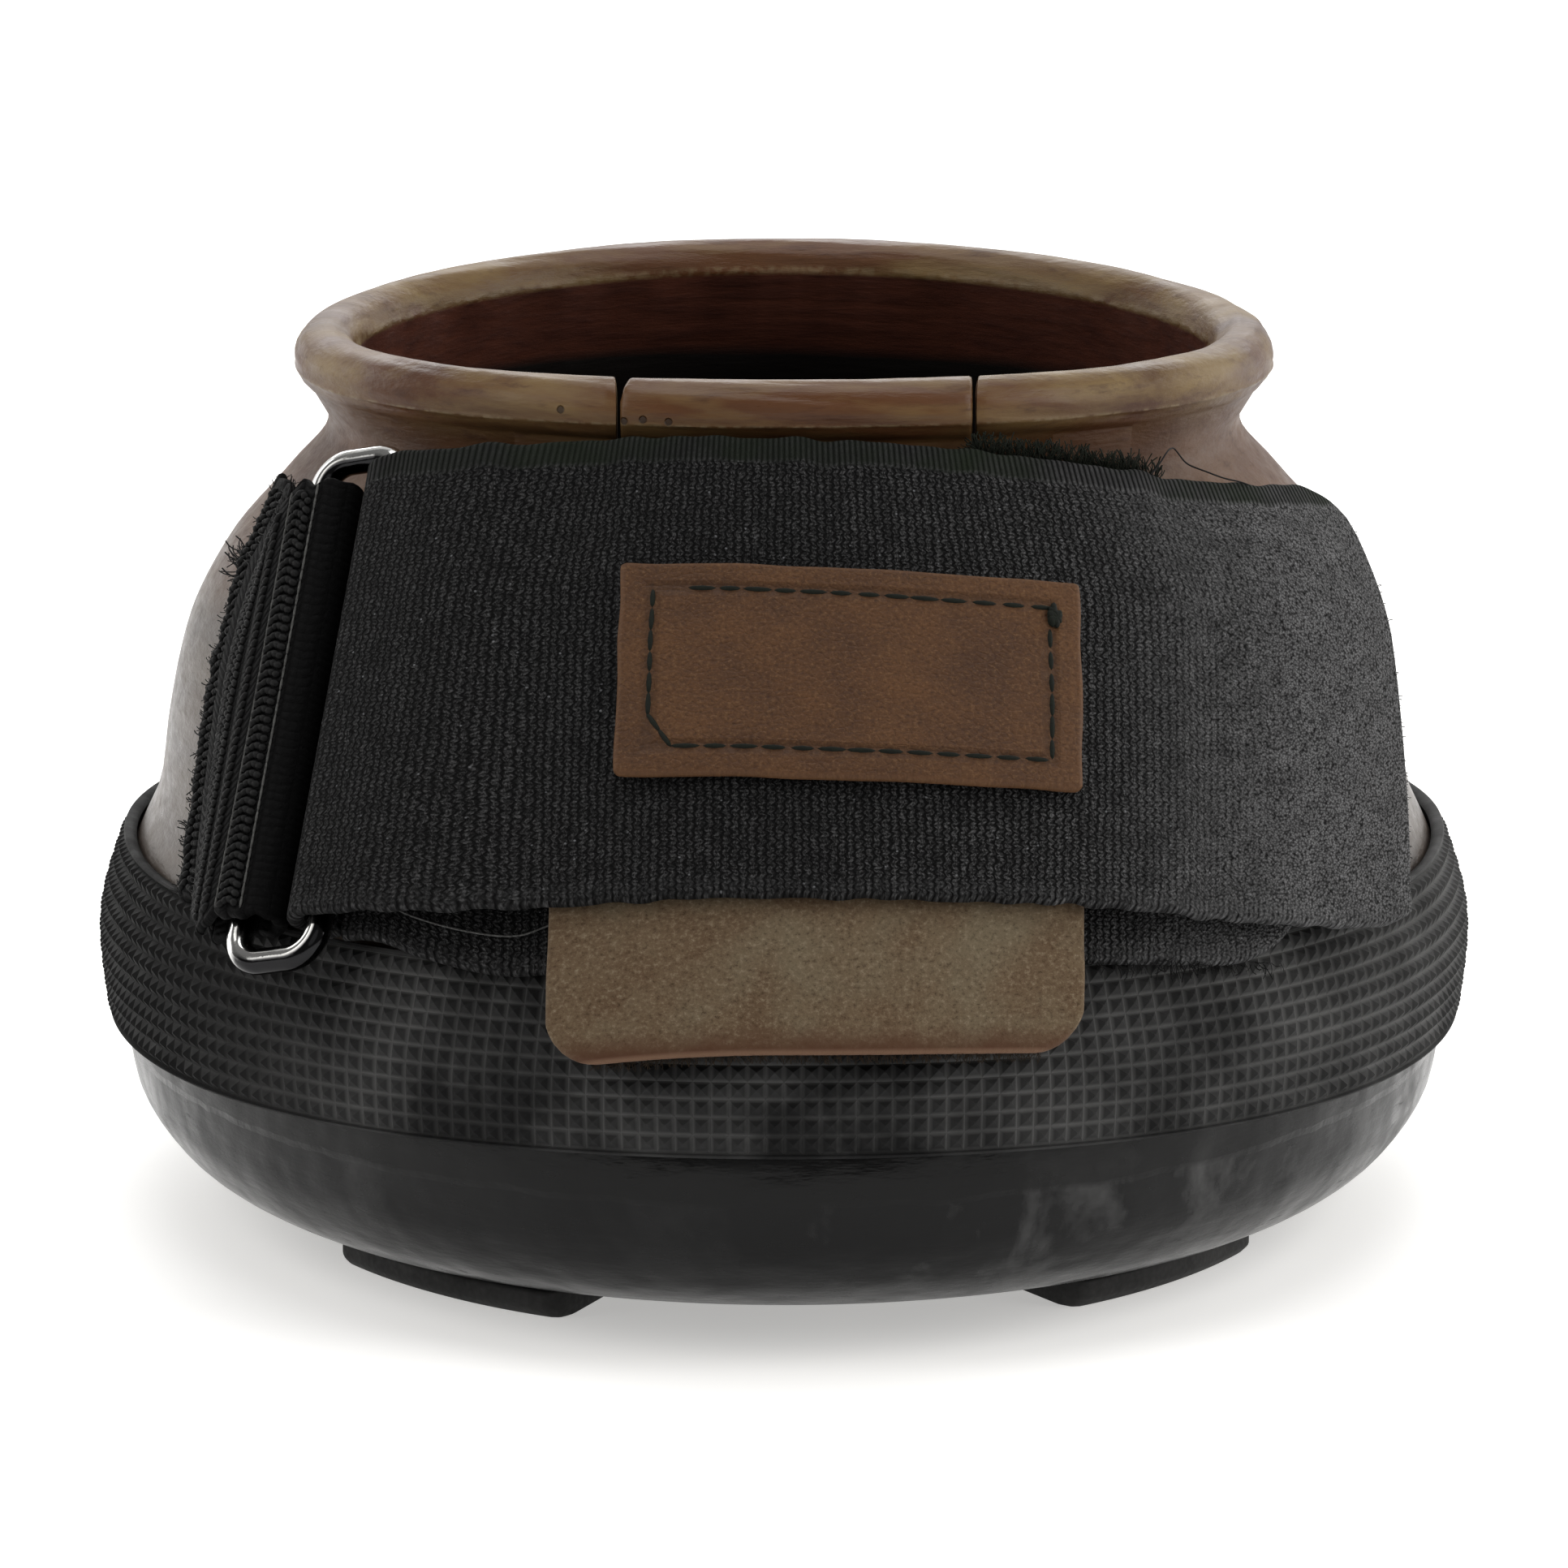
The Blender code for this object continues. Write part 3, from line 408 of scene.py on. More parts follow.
class RingFrame:
    """Flat frame that the ring lies in: tangent to the body, clear of the strap under it."""

    def __init__(self):
        half = STRAP_WIDTH / 2
        shifts = np.array([0.0, 0.0, 0.0, RING_PITCH]) - RING_PLACE
        rises = np.array([half, 0.0, STRAP_WIDTH, half])
        middle, low, high, beside = ROUTE.on_body(shifts, rises, 0.0)
        self.up = unit(high - low)
        self.out = unit(np.cross(beside - middle, self.up))
        self.side = np.cross(self.up, self.out)
        rise, shift = np.meshgrid(np.linspace(0.0, STRAP_WIDTH, 15), (-RING_PITCH / 2, 0.0, RING_PITCH / 2))
        under = ROUTE.on_body(shift - RING_PLACE, rise, 0.0)
        swell = max(0.0, float(((under - middle) @ self.out).max()))
        self.middle = middle + self.out * swell

    def point(self, shift, across, height):
        """From lengths along the strap, across it and out of the body."""
        shift, across, height = np.broadcast_arrays(shift, across, height)
        rise = across - STRAP_WIDTH / 2
        flat = self.middle + self.side * shift[..., None] + self.up * rise[..., None]
        return flat + self.out * height[..., None]


RING = RingFrame()


def by_ring(shift, across, layer, height, weight, drop=0.0):
    """Between the ring's flat frame, at weight 0, and the body, at weight 1."""
    flat = RING.point(shift, across, height)
    curved = ROUTE.on_body(shift - RING_PLACE, across, layer, drop)
    return flat * (1 - weight[..., None]) + curved * weight[..., None]


# Meshes


def new_object(name, data):
    obj = bpy.data.objects.new(name, data)
    bpy.context.scene.collection.objects.link(obj)
    return obj


def new_piece(name, points, faces, finish, uvs=None, sharp_degrees=45):
    """A mesh object at the origin, with an optional map of lengths in metres."""
    mesh = bpy.data.meshes.new(name)
    mesh.from_pydata([tuple(p) for p in np.asarray(points, float)], [], faces)
    if uvs is not None:
        layer = mesh.uv_layers.new(name="UVMap")
        loops = np.zeros(len(mesh.loops), int)
        mesh.loops.foreach_get("vertex_index", loops)
        layer.data.foreach_set("uv", uvs[loops].ravel())
    mesh.validate()
    mesh.shade_smooth()
    mesh.set_sharp_from_angle(angle=radians(sharp_degrees))
    mesh.materials.append(finish)
    return new_object(name, mesh)


def mark(mesh, label, values, kind="FLOAT", domain="POINT"):
    """Stores values as a named attribute."""
    field = "vector" if kind == "FLOAT_VECTOR" else "value"
    number = bool if kind == "BOOLEAN" else np.float32
    mesh.attributes.new(label, kind, domain).data.foreach_set(field, np.ravel(values).astype(number))


def grid_faces(rows, columns, wrap=False, start=0, flip=False):
    """Quads of a grid of points, whose columns may close into a ring."""
    faces = []
    for i in range(rows - 1):
        for j in range(columns if wrap else columns - 1):
            k = (j + 1) % columns
            a, b = start + i * columns, start + (i + 1) * columns
            face = (a + j, a + k, b + k, b + j)
            faces.append(face[::-1] if flip else face)
    return faces


def round_off(distance, radius):
    """How far a corner of a radius cuts in, at a distance from the end."""
    return radius - np.sqrt(np.maximum(0.0, radius**2 - np.maximum(0.0, radius - distance) ** 2))


def rounded_half(distance, radius, edge_share):
    """Half thickness, as a share of the full one, at a distance in from a rounded edge."""
    t = 1 - np.clip(distance / radius, 0.0, 1.0)
    return np.maximum(edge_share, np.sqrt(np.maximum(0.0, 1 - t * t)))


def spaced(low, high, step, edge):
    """Places from low to high, with closer ones inside each edge's rounding."""
    inner = np.linspace(low + edge, high - edge, max(2, int(round((high - low) / step))))
    near = edge * np.array([0.0, 0.06, 0.2, 0.45, 0.72])
    return np.concatenate([low + near, inner, (high - near)[::-1]])


def panel(name, low, high, foot, top, wall, place, finish, step=0.0011, corner=0.0, open_start=False,
          edge=0.0007, edge_share=0.0, foot_corner=1.0):
    """A flat or strap-like piece with rounded edges. place(along, across, height) gives its points."""
    along = spaced(low, high, step, edge)
    rise = spaced(0.0, 1.0, step / (top - foot), edge / (top - foot))
    from_ends = high - along if open_start else np.minimum(along - low, high - along)
    inset = round_off(from_ends, corner)
    foot_line, top_line = (foot + foot_corner * inset)[:, None], (top - inset)[:, None]
    across = foot_line + (top_line - foot_line) * rise[None, :]
    station = np.broadcast_to(along[:, None], across.shape)
    from_edge = np.minimum(across - foot_line, top_line - across)
    share = rounded_half(np.minimum(from_edge, from_ends[:, None]), edge, edge_share)
    sheets = [place(station, across, wall / 2 + wall / 2 * share * side).reshape(-1, 3) for side in (1, -1)]
    rows, columns = across.shape
    uvs = np.stack([station.ravel(), across.ravel()], axis=1)
    total = rows * columns
    faces = grid_faces(rows, columns, flip=True) + grid_faces(rows, columns, start=total)
    border = [i * columns for i in range(rows)] + [(rows - 1) * columns + j for j in range(1, columns)]
    border += [i * columns + columns - 1 for i in range(rows - 2, -1, -1)] + list(range(columns - 2, 0, -1))
    for here, after in zip(border, border[1:] + border[:1]):
        faces.append((after, here, total + here, total + after))
    obj = new_piece(name, np.concatenate(sheets), faces, finish, np.concatenate([uvs, uvs]), 60)
    return merge_doubles(obj)


def merge_doubles(obj, distance=0.000004):
    mesh = bmesh.new()
    mesh.from_mesh(obj.data)
    bmesh.ops.remove_doubles(mesh, verts=mesh.verts, dist=distance)
    bmesh.ops.dissolve_degenerate(mesh, edges=mesh.edges, dist=distance / 4)
    bmesh.ops.recalc_face_normals(mesh, faces=mesh.faces)
    mesh.to_mesh(obj.data)
    mesh.free()
    return obj


def ring_loft(name, rings, finish, closed=True, sharp_degrees=45):
    """Skin over closed rings of points; one that isn't closed gets a centre point at each end."""
    rings = np.asarray(rings, float)
    rows, columns = rings.shape[:2]
    points = rings.reshape(-1, 3)
    faces = grid_faces(rows, columns, wrap=True)
    total, last = rows * columns, (rows - 1) * columns
    if not closed:
        points = np.concatenate([points, [rings[0].mean(axis=0), rings[-1].mean(axis=0)]])
    for j in range(columns):
        k = (j + 1) % columns
        caps = [(total, k, j), (last + j, last + k, total + 1)]
        faces += [(last + j, last + k, k, j)] if closed else caps
    return new_piece(name, points, faces, finish, sharp_degrees=sharp_degrees)


def baked(obj):
    """The object with its mesh as its modifiers leave it."""
    bpy.context.view_layer.update()
    depsgraph = bpy.context.evaluated_depsgraph_get()
    mesh = bpy.data.meshes.new_from_object(obj.evaluated_get(depsgraph), depsgraph=depsgraph)
    obj.modifiers.clear()
    obj.data = mesh
    return obj


def bevelled(obj, width=MOULD_EDGE, segments=2, degrees=50):
    """Rounds the sharp edges and bakes that in."""
    modifier = obj.modifiers.new("edge", "BEVEL")
    modifier.width, modifier.segments = width, segments
    modifier.limit_method, modifier.angle_limit = "ANGLE", radians(degrees)
    modifier.use_clamp_overlap, modifier.harden_normals = True, False
    baked(obj)
    obj.data.shade_smooth()
    obj.data.set_sharp_from_angle(angle=radians(48))
    return obj


# Node graphs


def formula(operation, turned=False):
    """A method that adds one math node; a turned one takes its own value second."""

    def method(self, other=0.0):
        return self.graph.math(operation, *((other, self) if turned else (self, other)))

    return method


class Value:
    """A node's output. Used in a formula, it adds the math nodes that the formula needs."""

    def __init__(self, graph, socket):
        self.graph, self.socket = graph, socket

    __add__ = __radd__ = formula("ADD")
    __mul__ = __rmul__ = formula("MULTIPLY")
    __sub__, __rsub__ = formula("SUBTRACT"), formula("SUBTRACT", True)
    __truediv__, __pow__, __abs__ = formula("DIVIDE"), formula("POWER"), formula("ABSOLUTE")
    highest, above, fold = formula("MAXIMUM"), formula("GREATER_THAN"), formula("PINGPONG")
    floor, rest, sine, cosine = formula("FLOOR"), formula("FRACT"), formula("SINE"), formula("COSINE")

    def stretch(self, low, high, out_low=0.0, out_high=1.0):
        inputs = {"Value": self, "From Min": low, "From Max": high, "To Min": out_low, "To Max": out_high}
        return self.graph.add("ShaderNodeMapRange", inputs, clamp=True)


class Graph:
    """Short ways to add and join the nodes of a tree. Its textures lie on the value named place."""

    prefix, place = "ShaderNode", None

    def __init__(self, tree):
        self.tree = tree

    def feed(self, socket, value):
        value = value.socket if isinstance(value, Value) else value
        if isinstance(value, bpy.types.NodeSocket):
            self.tree.links.new(value, socket)
        else:
            socket.default_value = (*value, 1) if socket.type == "RGBA" else value

    def node(self, kind, inputs=(), **settings):
        """A new node's outputs. Its inputs are numbers or values of other nodes."""
        node = self.tree.nodes.new(kind if "Node" in kind else self.prefix + kind)
        for key, value in settings.items():
            setattr(node, key, value)
        for key, value in dict(inputs).items():
            self.feed(node.inputs[key], value)
        return node.outputs

    def add(self, kind, inputs=(), output=0, **settings):
        return Value(self, self.node(kind, inputs, **settings)[output])

    def math(self, operation, a, b):
        return self.add("ShaderNodeMath", {0: a, 1: b}, operation=operation)

    def axes(self):
        return [Value(self, socket) for socket in self.node("SeparateXYZ", {0: self.place})]

    def scaled(self, *scale):
        return self.add("Mapping", {"Vector": self.place, "Scale": scale})

    def noise(self, scale, detail=4.0, roughness=0.55, distortion=0.0, place=None):
        inputs = {"Vector": place or self.place, "Scale": scale, "Detail": detail}
        return self.add("TexNoise", {**inputs, "Roughness": roughness, "Distortion": distortion})

    def cells(self, scale, **settings):
        """Cell texture: its distance and colour."""
        outputs = self.node("TexVoronoi", {"Vector": self.place, "Scale": scale}, **settings)
        return Value(self, outputs[0]), outputs[1]

    def between(self, share, a, b):
        return self.add("Mix", {0: share, 2: a, 3: b})

    def mix(self, share, a, b):
        """Between two colours."""
        return self.add("Mix", {0: share, 6: a, 7: b}, 2, data_type="RGBA")

    def attribute(self, name):
        return self.add("Attribute", (), "Fac", attribute_name=name)

    def group(self, tree, place=None, **inputs):
        outputs = self.node("Group", {"Vector": place or self.place, **inputs}, node_tree=tree)
        return [Value(self, socket) for socket in outputs]


def shader_group(name, numbers, outputs):
    """An empty node group that takes a place and some numbers: its graph, given numbers and outputs."""
    graph = Graph(bpy.data.node_groups.new(name, "ShaderNodeTree"))
    sockets = [("Vector", "INPUT", "Vector")] + [(label, "INPUT", "Float") for label in numbers]
    for label, side, kind in sockets + [(label, "OUTPUT", "Float") for label in outputs]:
        graph.tree.interface.new_socket(name=label, in_out=side, socket_type="NodeSocket" + kind)
    graph.place, *given = [Value(graph, socket) for socket in graph.node("NodeGroupInput")][:-1]
    return graph, given, graph.tree.nodes.new("NodeGroupOutput").inputs


def mottle_group():
    """Cloudy patches: where rubber is hazed, or leather darker, with a soft edge."""
    graph, (scale, low, high), put = shader_group("mottle", ["Scale", "Low", "High"], ["Mask"])
    graph.feed(put["Mask"], graph.noise(scale, 5.0, 0.6, 0.3).stretch(low, high))
    return graph.tree


def grain_group():
    """Fine grain: a height from small noise and the cells between pores."""
    graph, (scale,), put = shader_group("grain", ["Scale"], ["Height"])
    graph.feed(put["Height"], graph.noise(scale, 3.0, 0.6) + graph.cells(scale)[0] * 0.5)
    return graph.tree


def knit_group():
    """Knit on a strip's own map: wavy cords across it, parted into stitches, and a mask of small painted
    glints.
    """
    graph, (column, loop, lean), put = shader_group("knit", ["Column", "Loop", "Lean"], ["Height", "Glint"])
    along, across, _ = graph.axes()
    wander = graph.noise(520.0, 2.0)
    loop = across / loop + wander * 2.2
    sway = (loop.fold(1.0) - 0.5) * lean + (wander - 0.5) * 1.1
    column = along / column + sway
    rib = ((column.rest() - 0.5) * pi).cosine() ** 1.1 * (abs((column * (2 * pi)).sine()) * 0.4 + 0.6)
    rib = rib * (abs((loop * pi).sine()) * 0.62 + 0.48)
    worms = graph.noise(2200.0, 1.5, 0.5, 0.5, graph.scaled(1.5, 0.75, 1.0))
    graph.feed(put["Height"], rib * (abs(worms - 0.5).stretch(0.11, 0.0) * 0.65 + 0.35))
    # Painted highlights: small glints on a few chosen cells.
    distance, colour = graph.cells(1050.0)
    chosen = graph.add("SeparateColor", {0: colour}).above(0.84)
    graph.feed(put["Glint"], chosen * distance.stretch(0.16, 0.06))
    return graph.tree


MOTTLE, GRAIN, KNIT = mottle_group(), grain_group(), knit_group()


class Finish(Graph):
    """A material with its Principled shader. Textures lie on the object or on its own map."""

    def __init__(self, name, place="Object", roughness=0.5, metallic=0.0, specular=0.5, sheen=0.0):
        self.material = bpy.data.materials.new(name)
        self.material.use_nodes = True
        super().__init__(self.material.node_tree)
        self.place = self.add("TexCoord", output=place)
        self.shader = self.tree.nodes["Principled BSDF"].inputs
        for label, value in (("Roughness", roughness), ("Metallic", metallic), ("Sheen Weight", sheen),
                             ("Specular IOR Level", specular), ("Sheen Roughness", 0.4)):
            self.shader[label].default_value = value

    def mottle(self, scale, low, high, place=None):
        return self.group(MOTTLE, place, Scale=scale, Low=low, High=high)[0]

    def grain(self, scale):
        return self.group(GRAIN, Scale=scale)[0]

    def tinted(self, colour, *tints):
        """A colour with others laid over it in turn, each by its share."""
        for share, tint in tints:
            colour = self.mix(share, colour, tint)
        return colour

    def paint(self, colour, rough=None, *bumps):
        """Feeds the shader. Bumps are heights and depths in metres, finest last."""
        self.feed(self.shader["Base Color"], colour)
        if rough:
            self.feed(self.shader["Roughness"], rough)
        normal = {}
        for height, depth in bumps:
            inputs = {"Height": height, "Distance": depth, "Strength": 1.0, **normal}
            normal = {"Normal": self.add("Bump", inputs)}
        for label, value in normal.items():
            self.feed(self.shader[label], value)
        return self.material


def brown_rubber():
    """Moulded brown rubber: olive streaks, redder inside, greyer flanks, pits and a trimmed seam. Painted
    light and shade: a pale yellow highlight painted into the streaks on the collar's top, near-black shade
    painted low inside, and shade painted into the pits.
    """
    it = Finish("brown_moulded_rubber", specular=0.22)
    height = it.axes()[2]
    high = height.stretch(0.0872, 0.0925)
    drawn = it.scaled(0.42, 1.3, 3.2)
    cloud = it.noise(34.0, 5.0, 0.6, place=drawn)
    streak = it.noise(240.0, 5.0, 0.66, place=drawn)
    # Partly real yellowish smears, partly a painted highlight: the pale tone lies mostly on the collar's top.
    bloom_and_highlight = it.mottle(62.0, 0.40, 0.64, drawn) * (high * 0.72 + 0.10)
    dark = streak.stretch(0.56, 0.70, 0.0, 0.62) * height.stretch(0.0640, 0.0740, 0.25, 1.0)
    inside = it.attribute("inside")
    # Painted shade: the inside wall turns near-black below a wavy level, where shade falls far down inside the
    # boot.
    shade_level = height + it.noise(60.0, 3.0, place=drawn) * 0.0022
    ruddy = it.mix(streak.stretch(0.35, 0.68), (0.078, 0.0250, 0.0150), (0.042, 0.0125, 0.0080))
    ruddy = it.mix(shade_level.stretch(0.0848, 0.0833), ruddy, (0.0100, 0.0082, 0.0076))
    # Painted shade: each pit is painted dark, as shade in a hole, besides its bump.
    pit = 0.0
    for x, turn in PITS:
        row = collar_row(turn)
        spot = Vector(row.place(row.angle_at(np.array([x])))[0])
        away = it.add("VectorMath", {0: it.place, 1: spot}, "Value", operation="DISTANCE")
        pit = away.stretch(0.00046, 0.00032) + pit
    neck = height.stretch(0.070, 0.080) - high
    rough = streak.stretch(0.3, 0.7, 0.26, 0.42) + bloom_and_highlight * 0.14 + inside.highest(neck) * 0.16
    colour = it.tinted(
        it.mix(cloud.stretch(0.35, 0.65), (0.048, 0.0180, 0.0068), (0.084, 0.0350, 0.0135)),
        (height.stretch(0.0740, 0.0640, 0.0, 0.75), (0.052, 0.050, 0.047)),
        (bloom_and_highlight, (0.160, 0.108, 0.042)),
        (dark, (0.036, 0.0125, 0.0060)),
        (inside, ruddy),
        (it.attribute("trim") * it.noise(900.0, 2.0).stretch(0.40, 0.60), (0.160, 0.118, 0.066)),
        (pit * 0.8, (0.014, 0.007, 0.004)),
    )
    return it.paint(colour, rough, (cloud, 0.00045), (streak, 0.00016), (1.0 - pit, 0.00025),
                    (it.grain(1500.0), 0.000015))


def black_rubber():
    """Glossy black sole rubber: soft grey clouds where the rubber has bloomed, rubbed streaks and a rough
    cement line.
    """
    it = Finish("black_sole_rubber", specular=0.16)
    flat = it.scaled(0.55, 0.55, 2.2)
    haze = it.mottle(60.0, 0.50, 0.66) * (it.noise(19.0, 2.0).stretch(0.46, 0.60) * 0.92 + 0.08)
    under_band = (it.axes()[2] + it.noise(120.0) * 0.0016).stretch(0.0190, 0.0197)
    streak = it.noise(150.0, 4.0, 0.6, place=flat)
    scuffs = it.noise(420.0, 5.0, 0.7, place=flat)
    colour = it.tinted((0.0020, 0.0020, 0.0022), (haze, (0.062, 0.062, 0.062)),
                       (under_band * 0.8, (0.0022, 0.0022, 0.0022)))
    rough = streak.stretch(0.3, 0.7, 0.17, 0.30) + haze * 0.28 + scuffs.stretch(0.62, 0.75, 0.0, 0.25)
    return it.paint(colour, rough, (it.noise(42.0, 3.0), 0.0016), (under_band, 0.00015), (streak, 0.00014),
                    (it.grain(1600.0), 0.00001))


def band_rubber():
    """Dull black band rubber: pale, dusty valleys between the pyramids. Painted light and shade: the pale tone
    grows towards +X, where more light falls, and the -X side is painted darker.
    """
    it = Finish("grained_band_rubber", specular=0.11)
    side = it.axes()[0]
    # A mottle of real dusty tone, with painted light: it fades out towards -X and a paler tone is added
    # towards +X.
    dust_and_side_light = it.mottle(60.0, 0.40, 0.68) * side.stretch(-0.070, -0.035)
    dust_and_side_light = dust_and_side_light + side.stretch(0.015, 0.060, 0.0, 0.35)
    share = it.attribute("risen").stretch(0.42, 0.05) * (dust_and_side_light * 0.65 + 0.25)
    share = share * side.stretch(-0.068, -0.045, 0.15, 1.0)
    # Painted shade: the -X side is painted darker.
    painted_side_shade = side.stretch(-0.052, -0.068)
    colour = it.tinted((0.0056, 0.0056, 0.0058), (dust_and_side_light, (0.0290, 0.0290, 0.0290)),
                       (painted_side_shade, (0.0012, 0.0012, 0.0013)), (share, (0.092, 0.092, 0.091)))
    return it.paint(colour, it.noise(300.0).stretch(0.3, 0.7, 0.56, 0.74), (it.grain(2200.0), 0.00002))


def tread_rubber():
    it = Finish("matte_tread_rubber", specular=0.3)
    fine = it.grain(1500.0)
    return it.paint(it.mix(it.mottle(120.0, 0.4, 0.7), (0.0095, 0.0095, 0.0095), (0.024, 0.0235, 0.023)),
                    fine.stretch(0.3, 1.0, 0.65, 0.85), (fine, 0.00005))


def insole_felt():
    it = Finish("insole_felt", roughness=0.95, specular=0.15, sheen=0.2)
    colour = it.mix(it.noise(60.0).stretch(0.3, 0.7), (0.028, 0.025, 0.023), (0.056, 0.050, 0.046))
    return it.paint(colour, None, (it.noise(900.0, 6.0, 0.7, 1.2), 0.00018))


def strap_elastic():
    """Black elastic: zigzag knit, ribbed selvedges with a green cast, and a rougher, speckled free end."""
    it = Finish("black_knit_elastic", "UV", specular=0.07)
    knit, painted_glints = it.group(KNIT, Column=0.00082, Loop=0.00046, Lean=0.40)
    along, across, _ = it.axes()
    wobble = it.noise(120.0, 2.0) * 0.0010
    top = (across + wobble).stretch(STRAP_WIDTH - 0.0030, STRAP_WIDTH - 0.0022)
    foot = (across - wobble).stretch(0.0018, 0.0008)
    selvedge = top.highest(foot * 0.22)
    ribs = abs((along * (pi / 0.00058)).sine())
    pile = it.noise(2300.0, 3.0, 0.7)
    rough_end = (along + it.noise(90.0) * 0.014).stretch(0.034, 0.060, 0.0, 0.85)
    height = it.between(rough_end, knit, 1.0 - it.cells(3600.0)[0] * 0.95)
    height = it.between(selvedge, height, ribs)
    uneven = it.noise(330.0, 3.0, 0.6).stretch(0.3, 0.7, 0.70, 1.25)
    # Painted light and shade: the knit's raised loops are painted lighter than the gaps between them.
    lit = height.stretch(0.10, 0.80) ** 1.4 * uneven * (1.0 - selvedge * 0.74)
    lit = lit * it.between(rough_end * 0.55, pile.stretch(0.35, 0.65, 0.55, 1.35), 1.0)
    # Painted sheen: the lit knit is painted paler along the strap towards +X, where light grazes it.
    wear_and_sheen = along.stretch(0.000, 0.055, 0.060, 0.135)
    bright = it.add("CombineColor", {0: wear_and_sheen, 1: wear_and_sheen, 2: wear_and_sheen * 1.02})
    tint = it.mottle(70.0, 0.36, 0.62) * (top * along.stretch(-0.050, 0.030, 0.45, 0.85))
    # Painted highlights: the knit's glints are painted near-white, away from the selvedges.
    colour = it.tinted((0.0010, 0.0010, 0.0011), (lit, bright), (tint, (0.0078, 0.0125, 0.0056)),
                       (painted_glints * (1.0 - selvedge) * 0.6, (0.200, 0.205, 0.215)))
    return it.paint(colour, pile.stretch(0.3, 0.7, 0.62, 0.92), (height, 0.00034), (pile, 0.00012))


def hook_tape():
    it = Finish("hook_tape", "UV", roughness=0.7, specular=0.35)
    hooks = it.add("TexVoronoi", {"Vector": it.place, "Scale": 900.0, "Randomness": 0.35})
    height = hooks.stretch(0.45, 0.1)
    return it.paint(it.mix(height, (0.006, 0.006, 0.006), (0.020, 0.020, 0.021)), None, (height, 0.0004))


def corded_webbing():
    """Black webbing: broad cords across its length, knotted between its seams and flatter round the ring.
    Painted light and shade: the knots are painted lighter than the gaps, and the part round the ring darker,
    where the wrap curves away from the light.
    """
    it = Finish("black_corded_webbing", "UV", specular=0.07)
    along, across, _ = it.axes()
    column = along / 0.0021
    phase = column.floor() * 0.37 + it.noise(300.0, 2.0)
    knots = across / 0.00095 + phase + column.fold(0.5) * 0.5
    knots = abs((column * pi).sine()) ** 0.8 * (abs((knots * pi).sine()) * 0.7 + 0.3)
    thread = it.noise(2300.0, 4.0, 0.75)
    back = along.stretch(WEBBING_LENGTH + 0.0100, WEBBING_LENGTH + 0.0120)
    # Painted shade: round the ring the webbing is painted darker, where the wrap curves away from the light;
    # its bump is flatter there as well.
    plain_and_shaded = along.stretch(0.0209, 0.0218) - back
    # Painted light and shade: raised knots lighter, the gaps between them darker.
    lit = knots * thread.stretch(0.3, 0.7, 0.2, 1.3) * (1.0 - plain_and_shaded * 0.85)
    colour = it.mix(lit, (0.0004, 0.0004, 0.0005), (0.0070, 0.0070, 0.0073))
    return it.paint(colour, thread.stretch(0.3, 0.7, 0.60, 0.90), (knots * (1.0 - plain_and_shaded * 0.8), 0.00055),
                    (thread, 0.00016))


def guard_suede():
    """Suede leather: a speckled nap with small rubbed clouds, and a reddish edge along its foot, darker and
    glossier with wear.
    """
    it = Finish("guard_suede", "UV", specular=0.08, sheen=0.05)
    rise = it.axes()[1] + GUARD_OVERHANG
    # Real wear: the edge along the foot is darker and glossier.
    wear_and_sheen = (rise + it.noise(240.0) * 0.0026).stretch(0.0040, 0.0014)
    nap = it.noise(1700.0, 4.0, 0.8)
    cloud = it.noise(190.0, 5.0, 0.62)
    colour = it.tinted(
        it.mix(cloud.stretch(0.34, 0.66), (0.082, 0.052, 0.030), (0.104, 0.073, 0.044)),
        (it.noise(75.0, 4.0, 0.6).stretch(0.46, 0.68, 0.0, 0.8), (0.118, 0.096, 0.062)),
        (nap.stretch(0.52, 0.72, 0.0, 0.8), (0.215, 0.175, 0.122)),
        (nap.stretch(0.46, 0.30, 0.0, 0.8), (0.026, 0.015, 0.008)),
        (wear_and_sheen, (0.060, 0.027, 0.0140)),
        (rise.stretch(0.0004, 0.0001) * 0.8, (0.140, 0.082, 0.052)),
    )
    return it.paint(colour, 0.93 - wear_and_sheen * 0.4, (cloud, 0.00018), (nap, 0.00014))


def patch_leather():
    """Tan leather with a fine even grain, a groove along its stitches and a paler cut edge."""
    it = Finish("patch_leather", "UV", specular=0.16)
    along, across, _ = it.axes()
    cloud = it.noise(130.0, 4.0, 0.6)
    grain = it.noise(2500.0, 4.0, 0.75)
    crease = it.cells(1150.0, feature="DISTANCE_TO_EDGE")[0].stretch(0.0, 0.16)
    half = PATCH_HEIGHT / 2
    out = (abs(along - PATCH_OFFSET) - (PATCH_HALF_WIDTH - half)).highest(abs(across - (PATCH_FOOT + half)))
    groove = abs(out - (half - STITCH_INSET)).stretch(0.0009, 0.0003)
    colour = it.tinted(
        it.mix(cloud.stretch(0.32, 0.68), (0.044, 0.0180, 0.0064), (0.078, 0.0345, 0.0125)),
        (grain.stretch(0.52, 0.72, 0.0, 0.6), (0.150, 0.084, 0.036)),
        (grain.stretch(0.47, 0.32, 0.0, 0.75), (0.022, 0.0085, 0.0035)),
        (groove * 0.35, (0.022, 0.0100, 0.0050)),
        (out.stretch(half - 0.0006, half) * 0.5, (0.120, 0.062, 0.033)),
    )
    return it.paint(colour, cloud.stretch(0.3, 0.7, 0.50, 0.66), (cloud, 0.00030), (1.0 - groove, 0.00022),
                    (crease, 0.00004), (grain, 0.00008))


